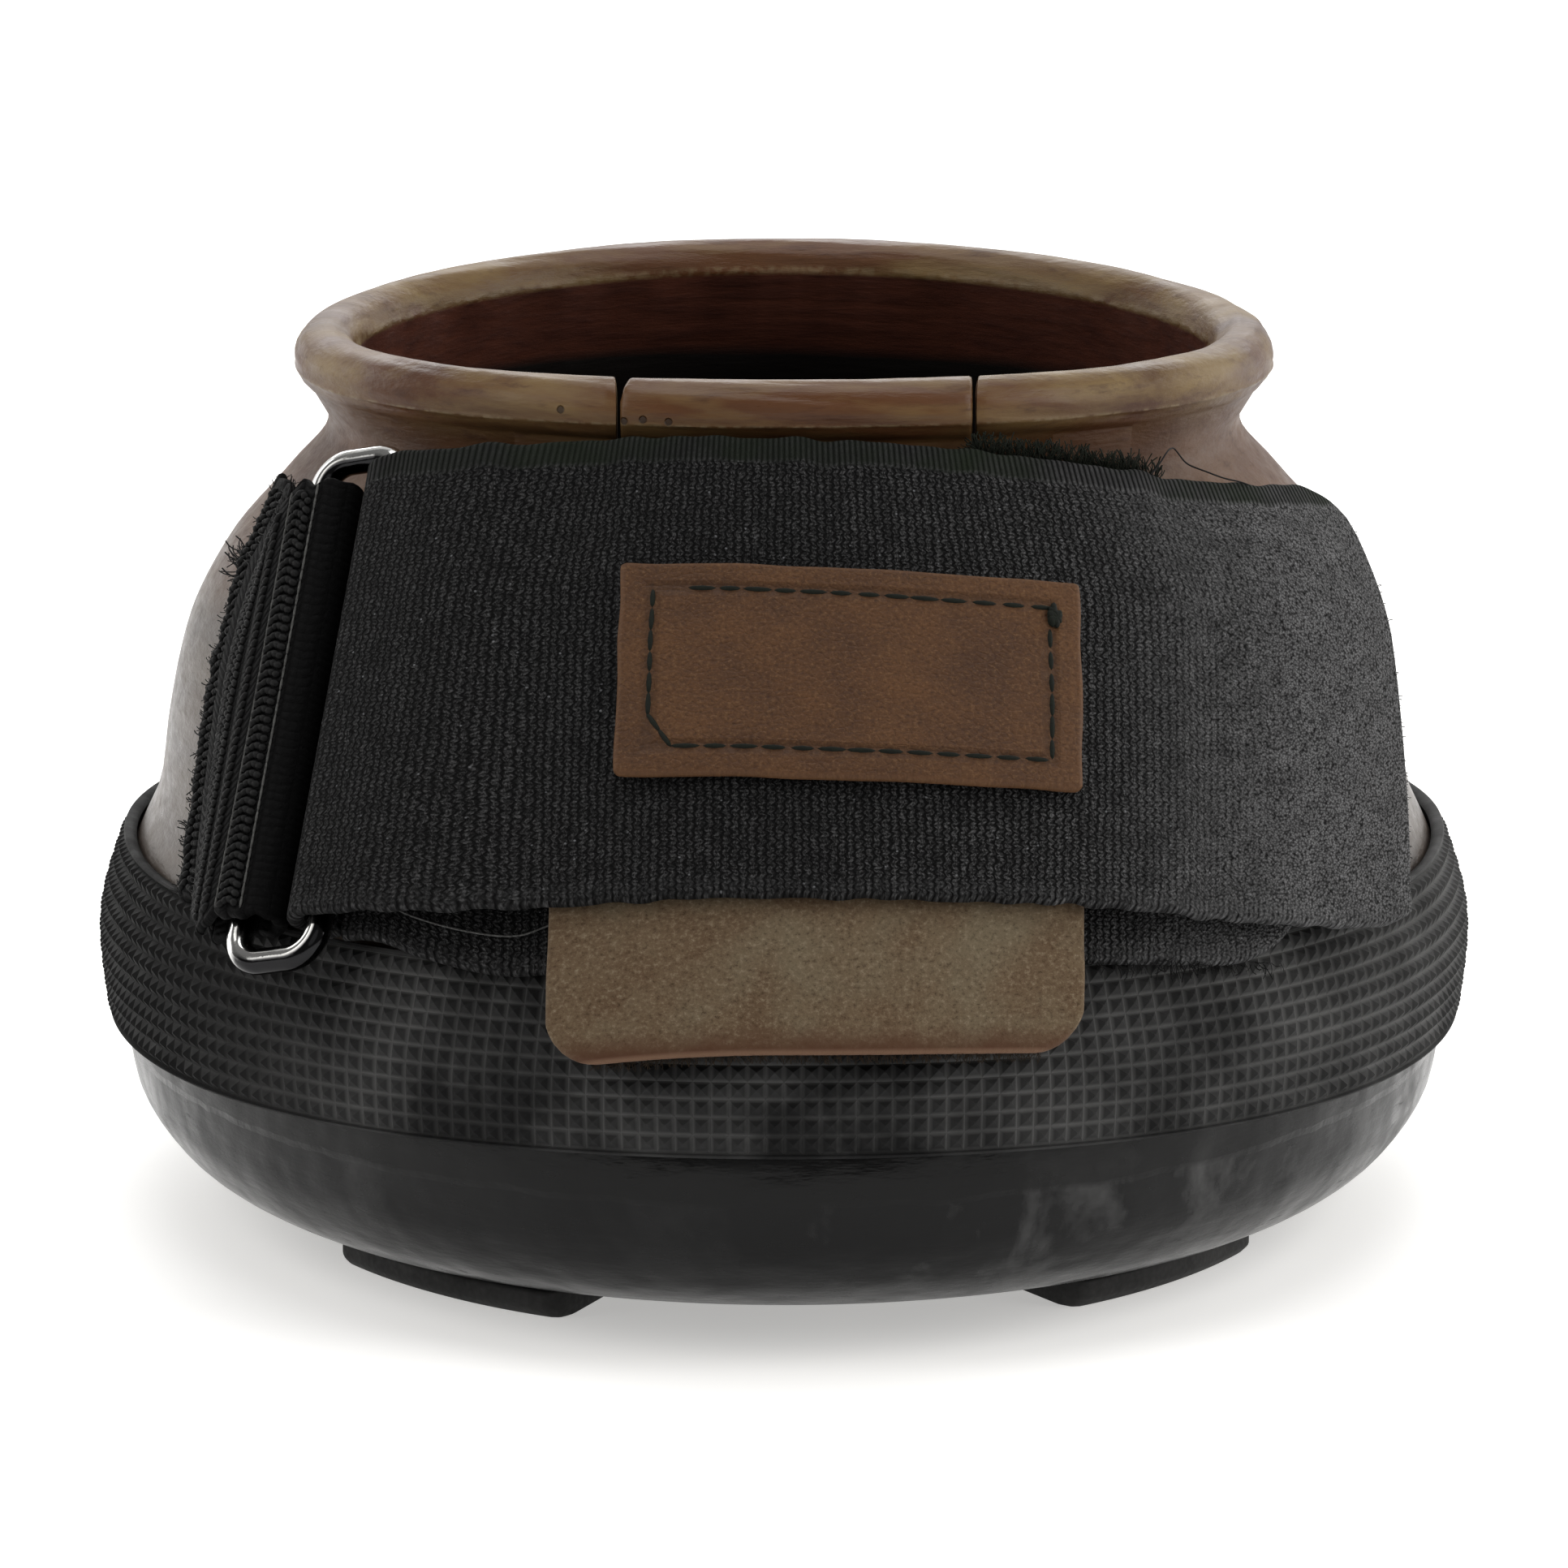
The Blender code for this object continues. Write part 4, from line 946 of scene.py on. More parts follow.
def thread_finish(name, colour, roughness=0.7):
    it = Finish(name, specular=0.14)
    twist = it.noise(2600.0, 3.0, 0.7)
    return it.paint(it.mix(twist.stretch(0.35, 0.65), tuple(0.4 * c for c in colour), colour),
                    twist.stretch(0.3, 0.7, roughness - 0.1, roughness + 0.1), (twist, 0.00008))


def bright_wire():
    """Polished plated wire with fine draw lines, small matt spots, and a painted dark reflection on the side
    of the wire that faces the front and down.
    """
    it = Finish("bright_wire", roughness=0.14, metallic=1.0)
    spots = it.mottle(420.0, 0.60, 0.76)
    plated = it.mix(spots, (0.66, 0.66, 0.65), (0.33, 0.31, 0.28))
    return it.paint(it.mix(it.attribute("dark_reflection"), plated, (0.020, 0.020, 0.021)), spots * 0.25 + 0.12,
                    (it.noise(500.0, 3.0), 0.00003))


def pale_floor():
    """Lit from within a little, as a light table is."""
    it = Finish("pale_floor", roughness=0.6, specular=0.3)
    it.feed(it.shader["Emission Color"], (1.0, 0.99, 0.97))
    it.feed(it.shader["Emission Strength"], 0.42)
    return it.paint(it.mix(it.noise(2.0, 3.0), (0.80, 0.80, 0.80), (0.84, 0.84, 0.84)))


# Geometry node trees


class GeometryTree(Graph):
    """A geometry tree with named inputs, run once on a mesh, whose result is kept as a mesh without modifiers.
    """

    prefix = "GeometryNode"
    KINDS = {"Finish": "Material", "Seed": "Int"}

    def __init__(self, name, *labels):
        super().__init__(bpy.data.node_groups.new(name, "GeometryNodeTree"))
        sockets = self.tree.interface
        sockets.new_socket(name="Geometry", in_out="INPUT", socket_type="NodeSocketGeometry")
        self.keys = {}
        for label in labels:
            kind = "NodeSocket" + self.KINDS.get(label, "Float")
            self.keys[label] = sockets.new_socket(name=label, in_out="INPUT", socket_type=kind).identifier
        sockets.new_socket(name="Geometry", in_out="OUTPUT", socket_type="NodeSocketGeometry")
        self.given = {socket.name: Value(self, socket) for socket in self.node("NodeGroupInput")}

    def stored(self, name, kind="FLOAT_VECTOR"):
        return self.add("InputNamedAttribute", {"Name": name}, "Attribute", data_type=kind)

    def random(self, low, high, kind="FLOAT"):
        inputs = {"Min": low, "Max": high, "Seed": self.given["Seed"]}
        return self.add("FunctionNodeRandomValue", inputs, "Value", data_type=kind)

    def finish(self, geometry):
        real = self.add("RealizeInstances", {"Geometry": geometry})
        painted = self.add("SetMaterial", {"Geometry": real, "Material": self.given["Finish"]})
        self.feed(self.tree.nodes.new("NodeGroupOutput").inputs[0], painted)
        return self

    def dress(self, piece, turn, size):
        """A copy of a piece on every point."""
        points = self.add("MeshToPoints", {"Mesh": self.given["Geometry"]})
        inputs = {"Points": points, "Instance": piece, "Rotation": turn, "Scale": size}
        return self.finish(self.add("InstanceOnPoints", inputs))

    def run(self, obj, values):
        modifier = obj.modifiers.new(self.tree.name, "NODES")
        modifier.node_group = self.tree
        for label, value in values.items():
            modifier[self.keys[label]] = value
        return baked(obj)


def pyramid_tree():
    """Every face marked as grain rises into a small square pyramid with a blunt tip."""
    tree = GeometryTree("pyramid_grain", "Height", "Tip share", "Finish")
    given = tree.given
    inputs = {"Mesh": given["Geometry"], "Selection": tree.stored("grain", "BOOLEAN")}
    inputs.update({"Offset Scale": given["Height"], "Individual": True})
    mesh, top, side = tree.node("ExtrudeMesh", inputs, mode="FACES")
    inputs = {"Geometry": mesh, "Selection": top, "Scale": given["Tip share"]}
    tips = tree.add("ScaleElements", inputs, domain="FACE")
    inputs = {"Geometry": tips, "Selection": top, "Name": "risen", "Value": 1.0}
    marked = tree.add("StoreNamedAttribute", inputs, data_type="FLOAT", domain="POINT")
    inputs = {"Geometry": marked, "Selection": side, "Shade Smooth": False}
    return tree.finish(tree.add("SetShadeSmooth", inputs))


def stitch_tree():
    """A rounded stitch on every point, along its tangent and standing off its surface."""
    tree = GeometryTree("stitches", "Length", "Thickness", "Unevenness", "Seed", "Finish")
    given = tree.given
    bead = tree.add("MeshUVSphere", {"Segments": 8, "Rings": 5, "Radius": 0.5})
    align = "FunctionNodeAlignRotationToVector"
    along = tree.add(align, {"Vector": tree.stored("tangent")}, axis="X")
    inputs = {"Rotation": along, "Vector": tree.stored("outward")}
    upright = tree.add(align, inputs, axis="Z", pivot_axis="X")
    length = given["Length"] * tree.random(1.0 - given["Unevenness"], 1.0)
    size = {"X": length, "Y": given["Thickness"], "Z": given["Thickness"]}
    return tree.dress(bead, upright, tree.add("ShaderNodeCombineXYZ", size))


def fray_tree():
    """A short bent thread on every point, pointing along its tangent with some scatter."""
    tree = GeometryTree("frayed_threads", "Length", "Thickness", "Scatter", "Seed", "Finish")
    given = tree.given
    bend = {"Resolution": 4, "Start": (0, 0, 0), "Middle": (0.18, 0.02, 0.6), "End": (-0.10, 0.12, 1.0)}
    curl = tree.add("CurveQuadraticBezier", bend)
    rim = tree.add("CurvePrimitiveCircle", {"Resolution": 4, "Radius": given["Thickness"]})
    thread = tree.add("CurveToMesh", {"Curve": curl, "Profile Curve": rim, "Fill Caps": True})
    scatter = tree.random(given["Scatter"] * -1.0, given["Scatter"], "FLOAT_VECTOR")
    lean = tree.add("ShaderNodeVectorMath", {0: tree.stored("tangent"), 1: scatter}, operation="ADD")
    aimed = tree.add("FunctionNodeAlignRotationToVector", {"Vector": lean}, axis="Z")
    spin = {"Rotation": aimed, "Rotate By": tree.random((0, 0, 0), (0, 0, 2 * pi), "FLOAT_VECTOR")}
    turned = tree.add("FunctionNodeRotateRotation", spin, rotation_space="LOCAL")
    return tree.dress(thread, turned, given["Length"] * tree.random(0.35, 1.0))


STITCHES, FRAYS = stitch_tree(), fray_tree()


def dotted_piece(name, places, tangents, outwards, tree, values):
    """Points with a direction and a normal, dressed by a geometry tree."""
    mesh = bpy.data.meshes.new(name)
    mesh.from_pydata([tuple(p) for p in places], [], [])
    mark(mesh, "tangent", tangents, "FLOAT_VECTOR")
    mark(mesh, "outward", outwards, "FLOAT_VECTOR")
    obj = tree.run(new_object(name, mesh), values)
    obj.data.shade_smooth()
    return obj


# Upper, with its tab and rolled collar


def peak(value, middle, width):
    """1 at the middle, falling off to both sides."""
    return exp(-(((value - middle) / width) ** 2))


def wave_noise(values, seed, count=7, low=2.0, high=40.0):
    """Smooth repeatable noise round the boot, about -1 to 1."""
    rng = np.random.default_rng(seed)
    total = np.zeros_like(values, dtype=float)
    for _ in range(count):
        beat = np.round(rng.uniform(low, high))
        total += np.sin(values * beat + rng.uniform(0, 2 * pi))
    return total / sqrt(count)


class UpperRow:
    """One ring of the upper's surface, as a function of the angle round the boot."""

    def __init__(self, place, trim=0.0, inside=0.0, notch=0.0):
        self.place, self.trim, self.inside, self.notch = place, trim, inside, notch
        self.fine = np.linspace(-pi, 0.0, 400)
        self.fine_x = place(self.fine)[:, 0]

    def angle_at(self, x):
        return np.interp(x, self.fine_x, self.fine)

    def points(self, columns):
        """Tab columns at even x between the slits' faces, then the rest of the way round."""
        left, right = TAB_OFFSET - TAB_HALF_WIDTH, TAB_OFFSET + TAB_HALF_WIDTH
        tab = np.linspace(left + SLIT / 2 + self.notch, right - SLIT / 2, TAB_COLUMNS)
        marks = np.array([left - SLIT / 2 - 0.2 * self.notch, *tab, right + SLIT / 2 + 0.3 * self.notch])
        front = self.angle_at(marks)
        rest = np.linspace(front[-1], front[0] + 2 * pi, AROUND_COLUMNS + 2)[1:-1]
        points = self.place(np.concatenate([front, rest])[columns])
        exact = columns < len(marks)
        points[exact, 0] = marks[columns[exact]]
        return points


def wall_row(z, offset, flat=False):
    def place(angles):
        points = body(angles, z, offset)
        return level(points, z) if flat else points

    return UpperRow(place, inside=float(offset < 0))


def collar_row(degrees):
    """A ring of the rolled collar, at an angle round its bead."""
    turn = radians(degrees)

    def place(angles):
        top = body_height(1.0)
        centre = bare_body(angles, top)
        centre[:, 2] += COLLAR_RISE * np.sin(angles) ** 2
        out = level_normal(angles, top)
        radius = COLLAR_RADIUS + RIDGE_HEIGHT * peak(degrees, RIDGE_DEGREES, 4.0)
        flash = FLASH_HEIGHT * peak(degrees, 176, 7.0)
        radius = radius + flash * (0.5 + 0.5 * wave_noise(angles, 5, 9, 20, 160))
        radius += 0.00006 * wave_noise(angles + turn * 0.7, 8, 6, 3, 30)
        ring = centre + out * (radius * cos(turn))[:, None]
        ring[:, 2] += radius * sin(turn)
        return ring

    trim = peak(degrees, 173, 4.0) + 0.8 * peak(degrees, RIDGE_DEGREES, 2.5)
    return UpperRow(place, trim, float(degrees > 180), 0.0010 * peak(degrees, 100, 42.0))


def upper_walls(foot):
    """Outer rows up from a foot, collar rows, and inner rows at the same heights as the outer ones."""
    heights = np.linspace(foot, body_height(0.93), 26)
    turns = np.concatenate([[-58, -46, -36, -28, -22, -19, -16, -13, -10], np.linspace(-3, 184, 27)])
    outer, inner = [[wall_row(z, offset) for z in heights] for offset in (0.0, -UPPER_WALL)]
    return outer, [collar_row(turn) for turn in turns], inner


def moulded(name, rows, columns, faces, finish):
    """A piece of the upper. Its points know the trimmed seams, along the bead's inside and its parting
    line, and the inside wall."""
    points = np.concatenate([row.points(columns) for row in rows])
    obj = new_piece(name, points, faces, finish, sharp_degrees=50)
    for label in ("trim", "inside"):
        mark(obj.data, label, np.repeat([getattr(row, label) for row in rows], len(columns)))
    return bevelled(merge_doubles(obj))


def opening_sides(outer_count, collar_count, start, end, count, left, right):
    """Faces across the wall's thickness at both slits, with the collar's round as one face."""
    faces = []
    for column, turn in ((left, 1), (right, -1)):
        for k in range(outer_count - 1):
            a, b = start + k, end - k
            faces.append(tuple(row * count + column for row in (a, a + 1, b - 1, b))[::turn])
        bead = [(start + outer_count - 1 + k) * count + column for k in range(collar_count + 2)]
        faces.append(tuple(bead[::turn]))
    return faces


def make_shell(finish):
    """The upper, with the tab's opening cut down from its collar."""
    edge = body_height(SOLE_EDGE_SHARE)
    lap = SOLE_RIM_WALL + GAP
    skirt = edge - SKIRT_DEPTH
    outer, collar, inner = upper_walls(TAB_FOOT)
    low = np.linspace(edge + GAP, TAB_FOOT, 10)[:-1]
    rows = [wall_row(low[0], 0.0, flat=True)] + [wall_row(z, 0.0) for z in low[1:]]
    start = len(rows)
    rows += outer + collar + inner[::-1]
    end = len(rows) - 1
    rows += [wall_row(z, -UPPER_WALL) for z in low[:0:-1]]
    hidden = ((edge - GAP, lap + SKIRT_WALL), (skirt, lap + SKIRT_WALL), (skirt, lap), (edge + GAP, lap))
    rows += [wall_row(z, -depth, flat=True) for z, depth in hidden]
    count = TAB_COLUMNS + 2 + AROUND_COLUMNS
    opening = TAB_COLUMNS + 1
    faces = []
    for i in range(len(rows)):
        for j in range(opening if start <= i < end else 0, count):
            k, m = (i + 1) % len(rows), (j + 1) % count
            faces.append((i * count + j, i * count + m, k * count + m, k * count + j))
    faces += opening_sides(len(outer), len(collar), start, end, count, 0, opening)
    for j in range(opening):
        a, b = start * count + j, end * count + j
        faces.append((a, a + 1, b + 1, b))
    return moulded("upper", rows, np.arange(count), faces, finish)


def make_tab(finish):
    outer, collar, inner = upper_walls(TAB_FOOT + GAP)
    rows = outer + collar + inner[::-1]
    count = TAB_COLUMNS
    last = (len(rows) - 1) * count
    faces = grid_faces(len(rows), count)
    faces += opening_sides(len(outer), len(collar), 0, len(rows) - 1, count, count - 1, 0)
    faces += [(last + j, last + j + 1, j + 1, j) for j in range(count - 1)]
    return moulded("tab", rows, np.arange(1, count + 1), faces, finish)


# Sole


def around(count):
    """Even angles round the boot from the toe."""
    return FRONT + 2 * pi * np.arange(count) / count


def make_cup_sole(finish):
    edge = body_height(SOLE_EDGE_SHARE)
    ledge = edge - SKIRT_DEPTH - GAP
    floor = TREAD_DEPTH + SOLE_FLOOR
    wall = -SOLE_WALL
    shares = np.concatenate([np.linspace(0.0, 0.06, 8), np.linspace(0.075, SOLE_EDGE_SHARE, 18)])
    places = [(TREAD_DEPTH, 0.0, scale) for scale in (0.15, 0.4, 0.65, 0.85, 0.97)]
    places += [(body_height(share), 0.0, 1.0) for share in shares]
    places += [(edge, -SOLE_RIM_WALL, 1.0), (ledge, -SOLE_RIM_WALL, 1.0), (ledge, wall, 1.0)]
    places.append(((ledge + floor) / 2, wall, 1.0))
    places += [(floor, wall, scale) for scale in (1.0, 0.97, 0.8, 0.5, 0.2)]
    rings = []
    for z, offset, scale in places:
        middle = np.array([0.0, 0.0, z])
        rings.append(middle + (level(body(around(SOLE_COLUMNS), z, offset), z) - middle) * scale)
    return bevelled(merge_doubles(ring_loft("cup_sole", rings, finish, closed=False)))


def make_inner_pad(finish):
    """Foam pad on the floor of the sole, a little crowned and dished by the hoof."""
    foot = TREAD_DEPTH + SOLE_FLOOR + GAP
    angles = around(INSOLE_COLUMNS)
    wide = level(body(angles, foot, -SOLE_WALL - 2 * GAP - INSOLE_MARGIN), foot)
    middle = wide.mean(axis=0)
    under = ((0.0, 0.3), (0.0, 0.7))
    crown = ((0.0, 0.985), (0.0004, 0.995), (0.0012, 1.0), (0.0020, 0.998), (0.0026, 0.985),
             (0.00295, 0.955))
    dish = ((0.0030, 0.90), (0.0029, 0.80), (0.0027, 0.65), (0.0026, 0.45), (0.0025, 0.25), (0.0025, 0.08))
    rings = []
    for rise, scale in under + crown + dish:
        ring = level(middle + (wide - middle) * scale, foot + rise)
        if (rise, scale) in dish:
            ring[:, 2] += 0.00012 * wave_noise(angles, int(100 * scale), 5, 2, 12)
        rings.append(ring)
    return ring_loft("inner_pad", rings, finish, closed=False)


def make_tread_pads(finish):
    pads = []
    for name, (half, side, start, end) in PADS.items():
        sweep = radians(end - start)
        turn = half * pi / 2 + side * radians((start + end) / 2)
        stations = np.linspace(turn - sweep / 2, turn + sweep / 2, 40)
        inset = round_off((sweep / 2 - np.abs(stations - turn)) * BODY_HALF_WIDTH, PAD_CORNER)
        outline = bare_body(stations, TREAD_DEPTH)
        inward = -level_normal(stations, TREAD_DEPTH)
        top, cut = TREAD_DEPTH - GAP, PAD_CHAMFER
        near, far = PAD_MARGIN + inset, PAD_MARGIN + PAD_WIDTH - inset
        section = ((near, top), (near, cut), (near + cut, 0.0), (far - cut, 0.0), (far, cut), (far, top))
        rings = [level(outline + inward * depth[:, None], height) for depth, height in section]
        pad = ring_loft("tread_" + name, np.stack(rings, axis=1), finish, closed=False, sharp_degrees=30)
        pads.append(bevelled(merge_doubles(pad), 0.0005, 3, 28))
    return pads


def make_grain_band(finish):
    """The foxing band: smooth lips at both edges and rows of small pyramids moulded between them."""
    angles = around(GRAIN_COLUMNS)
    top_lip, foot_lip, face = 0.8 * BAND_LIP, 0.6 * BAND_LIP, BAND_PROUD - 0.0001
    valley = BAND_PROUD - GRAIN_HEIGHT + 0.0001
    cells = np.linspace(foot_lip, BAND_WIDTH - top_lip, GRAIN_ROWS + 1)
    lip = [(0.0, GAP + 0.0004), (0.0001, BAND_PROUD - 0.00035), (0.0003, face)]
    low = lip + [(foot_lip - 0.0002, face)]
    high = [(BAND_WIDTH - length, height) for length, height in [(top_lip - 0.0002, face)] + lip[::-1]]
    outline = low + [(length, valley) for length in cells] + high
    outline += [(BAND_WIDTH - 0.0002, GAP), (BAND_WIDTH / 2, GAP), (0.0002, GAP)]
    lengths = np.array([length for length, _ in outline])
    heights = np.array([band_heights(angle, lengths) for angle in angles])
    rings = [body(angles, heights[:, row], offset) for row, (_, offset) in enumerate(outline)]
    obj = ring_loft("grain_band", rings, finish)
    first, grained = len(low) * GRAIN_COLUMNS, GRAIN_ROWS * GRAIN_COLUMNS
    lips = np.ones(len(obj.data.vertices))
    lips[first : first + grained + GRAIN_COLUMNS] = 0.0
    flags = np.zeros(len(obj.data.polygons), bool)
    flags[first : first + grained] = True
    mark(obj.data, "risen", lips)
    mark(obj.data, "grain", flags, "BOOLEAN", "FACE")
    return pyramid_tree().run(obj, {"Height": GRAIN_HEIGHT, "Tip share": GRAIN_TIP_SHARE, "Finish": finish})


# Strap, ring and webbing. A place function takes lengths along and across a piece, and a height on it


def sewn_place(along, across, height):
    shift = along + RING_PLACE
    share = (shift - SEWN_START) / BLEND
    layer, lift = INNER_LAYER + height, AXIS_HEIGHT - FOLD_OUTER + height
    return by_ring(shift, across, layer, lift, smooth_step(share), INNER_DROP * smooth_step(2.2 * share))


def free_place(along, across, height):
    """The free run: off the fold, over the guard, then down on to the hook tape."""
    shift = along + RING_PLACE
    weight = smooth_step((shift - BEND_SHIFT) / BLEND)
    guard_end = GUARD_END + RAMP
    settled = smooth_step((along - guard_end) / (FREE_LENGTH - HOOK_LENGTH - guard_end))
    layer = FREE_LAYER + (FREE_END_LAYER - FREE_LAYER) * settled
    return by_ring(shift, across, layer + height, AXIS_HEIGHT + FOLD_INNER + height, weight)


def stray(along, across):
    """Across the strap, with its edges moved to their uneven outline."""
    foot = np.interp(along, *zip(*FOOT_STRAY)) + 0.00016 * wave_noise(np.asarray(along) * 40, 21)
    top = np.interp(along, *zip(*TOP_STRAY)) + 0.00022 * wave_noise(np.asarray(along) * 40, 22)
    share = across / STRAP_WIDTH
    return across + foot * (1 - share) + top * share


def run_place(along, across, height):
    """The whole loose strap: its tail under the ring's bar, the turn round it, and the free run."""
    along, across, height = np.broadcast_arrays(along, across, height)
    across = stray(along, across)
    start = BEND_SHIFT - GAP - RING_PLACE
    turn = fold_place(start - along, across, height)
    free = free_place(np.maximum(along, start), across, height)
    return np.where((along < start)[..., None], turn, free)


def hook_place(along, across, height):
    return free_place(along, stray(along, across), height - GAP - HOOK_WALL)


def patch_place(along, across, height):
    """The patch, a little tilted, with slightly wavy edges."""
    tilted = across - PATCH_TILT_SHARE * (along - PATCH_OFFSET)
    edge = np.abs(2 * (tilted - PATCH_FOOT) / PATCH_HEIGHT - 1)
    wave = 0.00009 * wave_noise(np.asarray(along) * 24, 41) * edge**4
    side = np.abs(along - PATCH_OFFSET) / PATCH_HALF_WIDTH
    lean = 0.00012 * wave_noise(np.asarray(tilted) * 24, 42) * side**8
    return free_place(along + lean, tilted + wave, height + STRAP_WALL + GAP)


def guard_place(along, across, height):
    return ROUTE.on_body(along, across, GUARD_LAYER + height)


class PlyPath:
    """A strip's path across the ring's frame: shift, height and normal at each length along it."""

    def __init__(self, rows):
        self.rows = np.array(rows)
        self.run = run_length(self.rows[:, :2])
        self.length = self.run[-1]

    def at(self, length):
        return [np.interp(length, self.run, self.rows[:, k]) for k in range(4)]


def bar_turn(shift, height, radius, start, end):
    """Rows of a path that goes round a bar of the ring."""
    turns = np.linspace(start, end, 25)
    return [(shift + radius * cos(t), height + radius * sin(t), cos(t), sin(t)) for t in turns]


def fold_path():
    middle = FOLD_INNER + STRAP_WALL / 2
    start, end = (STRAP_BAR + FOLD_RUN, middle, 0.0, 1.0), (STRAP_BAR + FOLD_TAIL, -middle, 0.0, -1.0)
    return PlyPath([start, *bar_turn(STRAP_BAR, 0.0, middle, pi / 2, 3 * pi / 2), end])


def webbing_path():
    middle = WIRE_RADIUS + GAP + WEBBING_WALL / 2
    low_ply = GAP + WEBBING_WALL / 2
    high_ply = low_ply + WEBBING_WALL + WEBBING_PLY_GAP
    turn_at = WEBBING_BAR + WRAP_SLACK
    shifts = np.linspace(WEBBING_BAR - WEBBING_LENGTH, turn_at, 28)[:-1]
    near = smooth_step((shifts - (WEBBING_BAR - WEBBING_BLEND)) / WEBBING_BLEND)
    high, low = [], []
    for rows, ply, side in ((high, high_ply, 1.0), (low, low_ply, -1.0)):
        for shift, share in zip(shifts, near):
            rows.append((shift, ply + (AXIS_HEIGHT + side * middle - ply) * share, 0.0, side))
    return PlyPath([*high, *bar_turn(turn_at, AXIS_HEIGHT, middle, pi / 2, -pi / 2), *low[::-1]])


FOLD = fold_path()
WEBBING = webbing_path()
WEBBING_FOOT = (STRAP_WIDTH - WEBBING_WIDTH) / 2 - WEBBING_DROP
WEBBING_TOP = WEBBING_FOOT + WEBBING_WIDTH


def fold_place(along, across, height):
    shift, rise, side, up = FOLD.at(along)
    reach = height - STRAP_WALL / 2
    return RING.point(shift + side * reach, across, AXIS_HEIGHT + rise + up * reach)


def webbing_place(along, across, height):
    shift, rise, side, up = WEBBING.at(along)
    reach = height - WEBBING_WALL / 2
    shift = shift + side * reach - np.maximum(along - WEBBING.length, 0.0)
    weight = smooth_step((WEBBING_BAR - WEBBING_BLEND_START - shift) / WEBBING_BLEND)
    return by_ring(shift, across, rise + up * reach, rise + up * reach, weight)


def ragged_place(along, across, height):
    """The webbing with its frayed outline: a slanted top edge and torn ends."""
    along, across, height = np.broadcast_arrays(along, across, height)
    folded = np.minimum(along, WEBBING.length - along)
    share = (across - WEBBING_FOOT) / WEBBING_WIDTH
    slant = np.interp(folded, *zip(*WEBBING_TOP_TRIM)) * share**1.5
    torn_top = wave_noise(folded * 60, 31) * 0.00045 * share**6
    torn_foot = wave_noise(folded * 60, 32) * 0.0004 * (1 - share) ** 6
    torn = torn_top - torn_foot
    near_end = np.clip(1 - (folded - LOWER_PLY_TRIM) / 0.009, 0, 1)
    rough_end = 0.0004 * wave_noise(share * 1.3, 33, 9, 8.0, 70.0)
    pulled = near_end * (rough_end + np.interp(share, *zip(*WEBBING_TEAR)))
    pulled = np.where(along > WEBBING.length / 2, -pulled, pulled)
    return webbing_place(along + pulled, across + slant + torn, height)


def make_wire_ring(finish):
    half_length = RING_OPENING / 2 + WIRE_RADIUS
    centres = []
    for quarter, (side, up) in enumerate(((1, 1), (-1, 1), (-1, -1), (1, -1))):
        for turn in pi / 2 * (quarter + np.linspace(0, 1, 13)):
            shift = side * (RING_PITCH / 2 - RING_CORNER) + RING_CORNER * cos(turn)
            rise = up * (half_length - RING_CORNER) + RING_CORNER * sin(turn)
            centres.append((shift, rise, cos(turn), sin(turn)))
        if quarter in (1, 3):
            shift, rise, *out = centres[-1]
            centres += [(shift, rise_on, *out) for rise_on in np.linspace(rise, -rise, 42)[1:-1]]
    turns = -2 * pi * np.arange(20) / 20
    rings = []
    for shift, rise, side, up in centres:
        on_bar = shift < 0 and abs(up) < 0.01
        radius = WIRE_RADIUS * (1 + 0.05 * peak(rise, -0.3 * half_length, 0.0007) * on_bar)
        reach, height = radius * np.cos(turns), AXIS_HEIGHT + radius * np.sin(turns)
        rings.append(RING.point(shift + side * reach, STRAP_WIDTH / 2 + rise + up * reach, height))
    obj = ring_loft("wire_ring", rings, finish, sharp_degrees=80)
    # Painted reflection: vertices whose normals face the front and a little down are marked to be painted
    # near-black, standing in for the dark surroundings the chrome would reflect.
    normals = np.empty(len(obj.data.vertices) * 3, np.float32)
    obj.data.vertex_normals.foreach_get("vector", normals)
    toward = normals.reshape(-1, 3) @ np.array(WIRE_DARK_REFLECTION_WAY)
    mark(obj.data, "dark_reflection", np.clip((toward - 0.38) / 0.16, 0, 1))
    return obj


# Threads. Two small steps find the way ahead along a line and the way out of a surface

AHEAD, OUTWARD = 0.0002, 0.0005


def traced(points, lengths):
    """Places at lengths along a polyline drawn on a piece's own map."""
    run = run_length(points)
    return [np.interp(lengths, run, points[:, k]) for k in (0, 1)]


def stitch_piece(name, place, lines, height, pitch, shape, finish, seed):
    """Stitches along lines of a piece's map, as one object. shape is length, thickness, unevenness."""
    columns = []
    for line in lines:
        points = np.array(line, float)
        length = run_length(points)[-1]
        count = max(2, int(round(length / pitch)))
        lengths = (np.arange(count) + 0.5) * length / count
        spots = traced(points, lengths)
        at = place(*spots, height)
        ahead = place(*traced(points, lengths + AHEAD), height)
        columns.append((at, unit(ahead - at), unit(place(*spots, height + OUTWARD) - at)))
    values = dict(zip(("Length", "Thickness", "Unevenness"), shape), Seed=seed, Finish=finish)
    return dotted_piece(name, *(np.concatenate(column) for column in zip(*columns)), STITCHES, values)


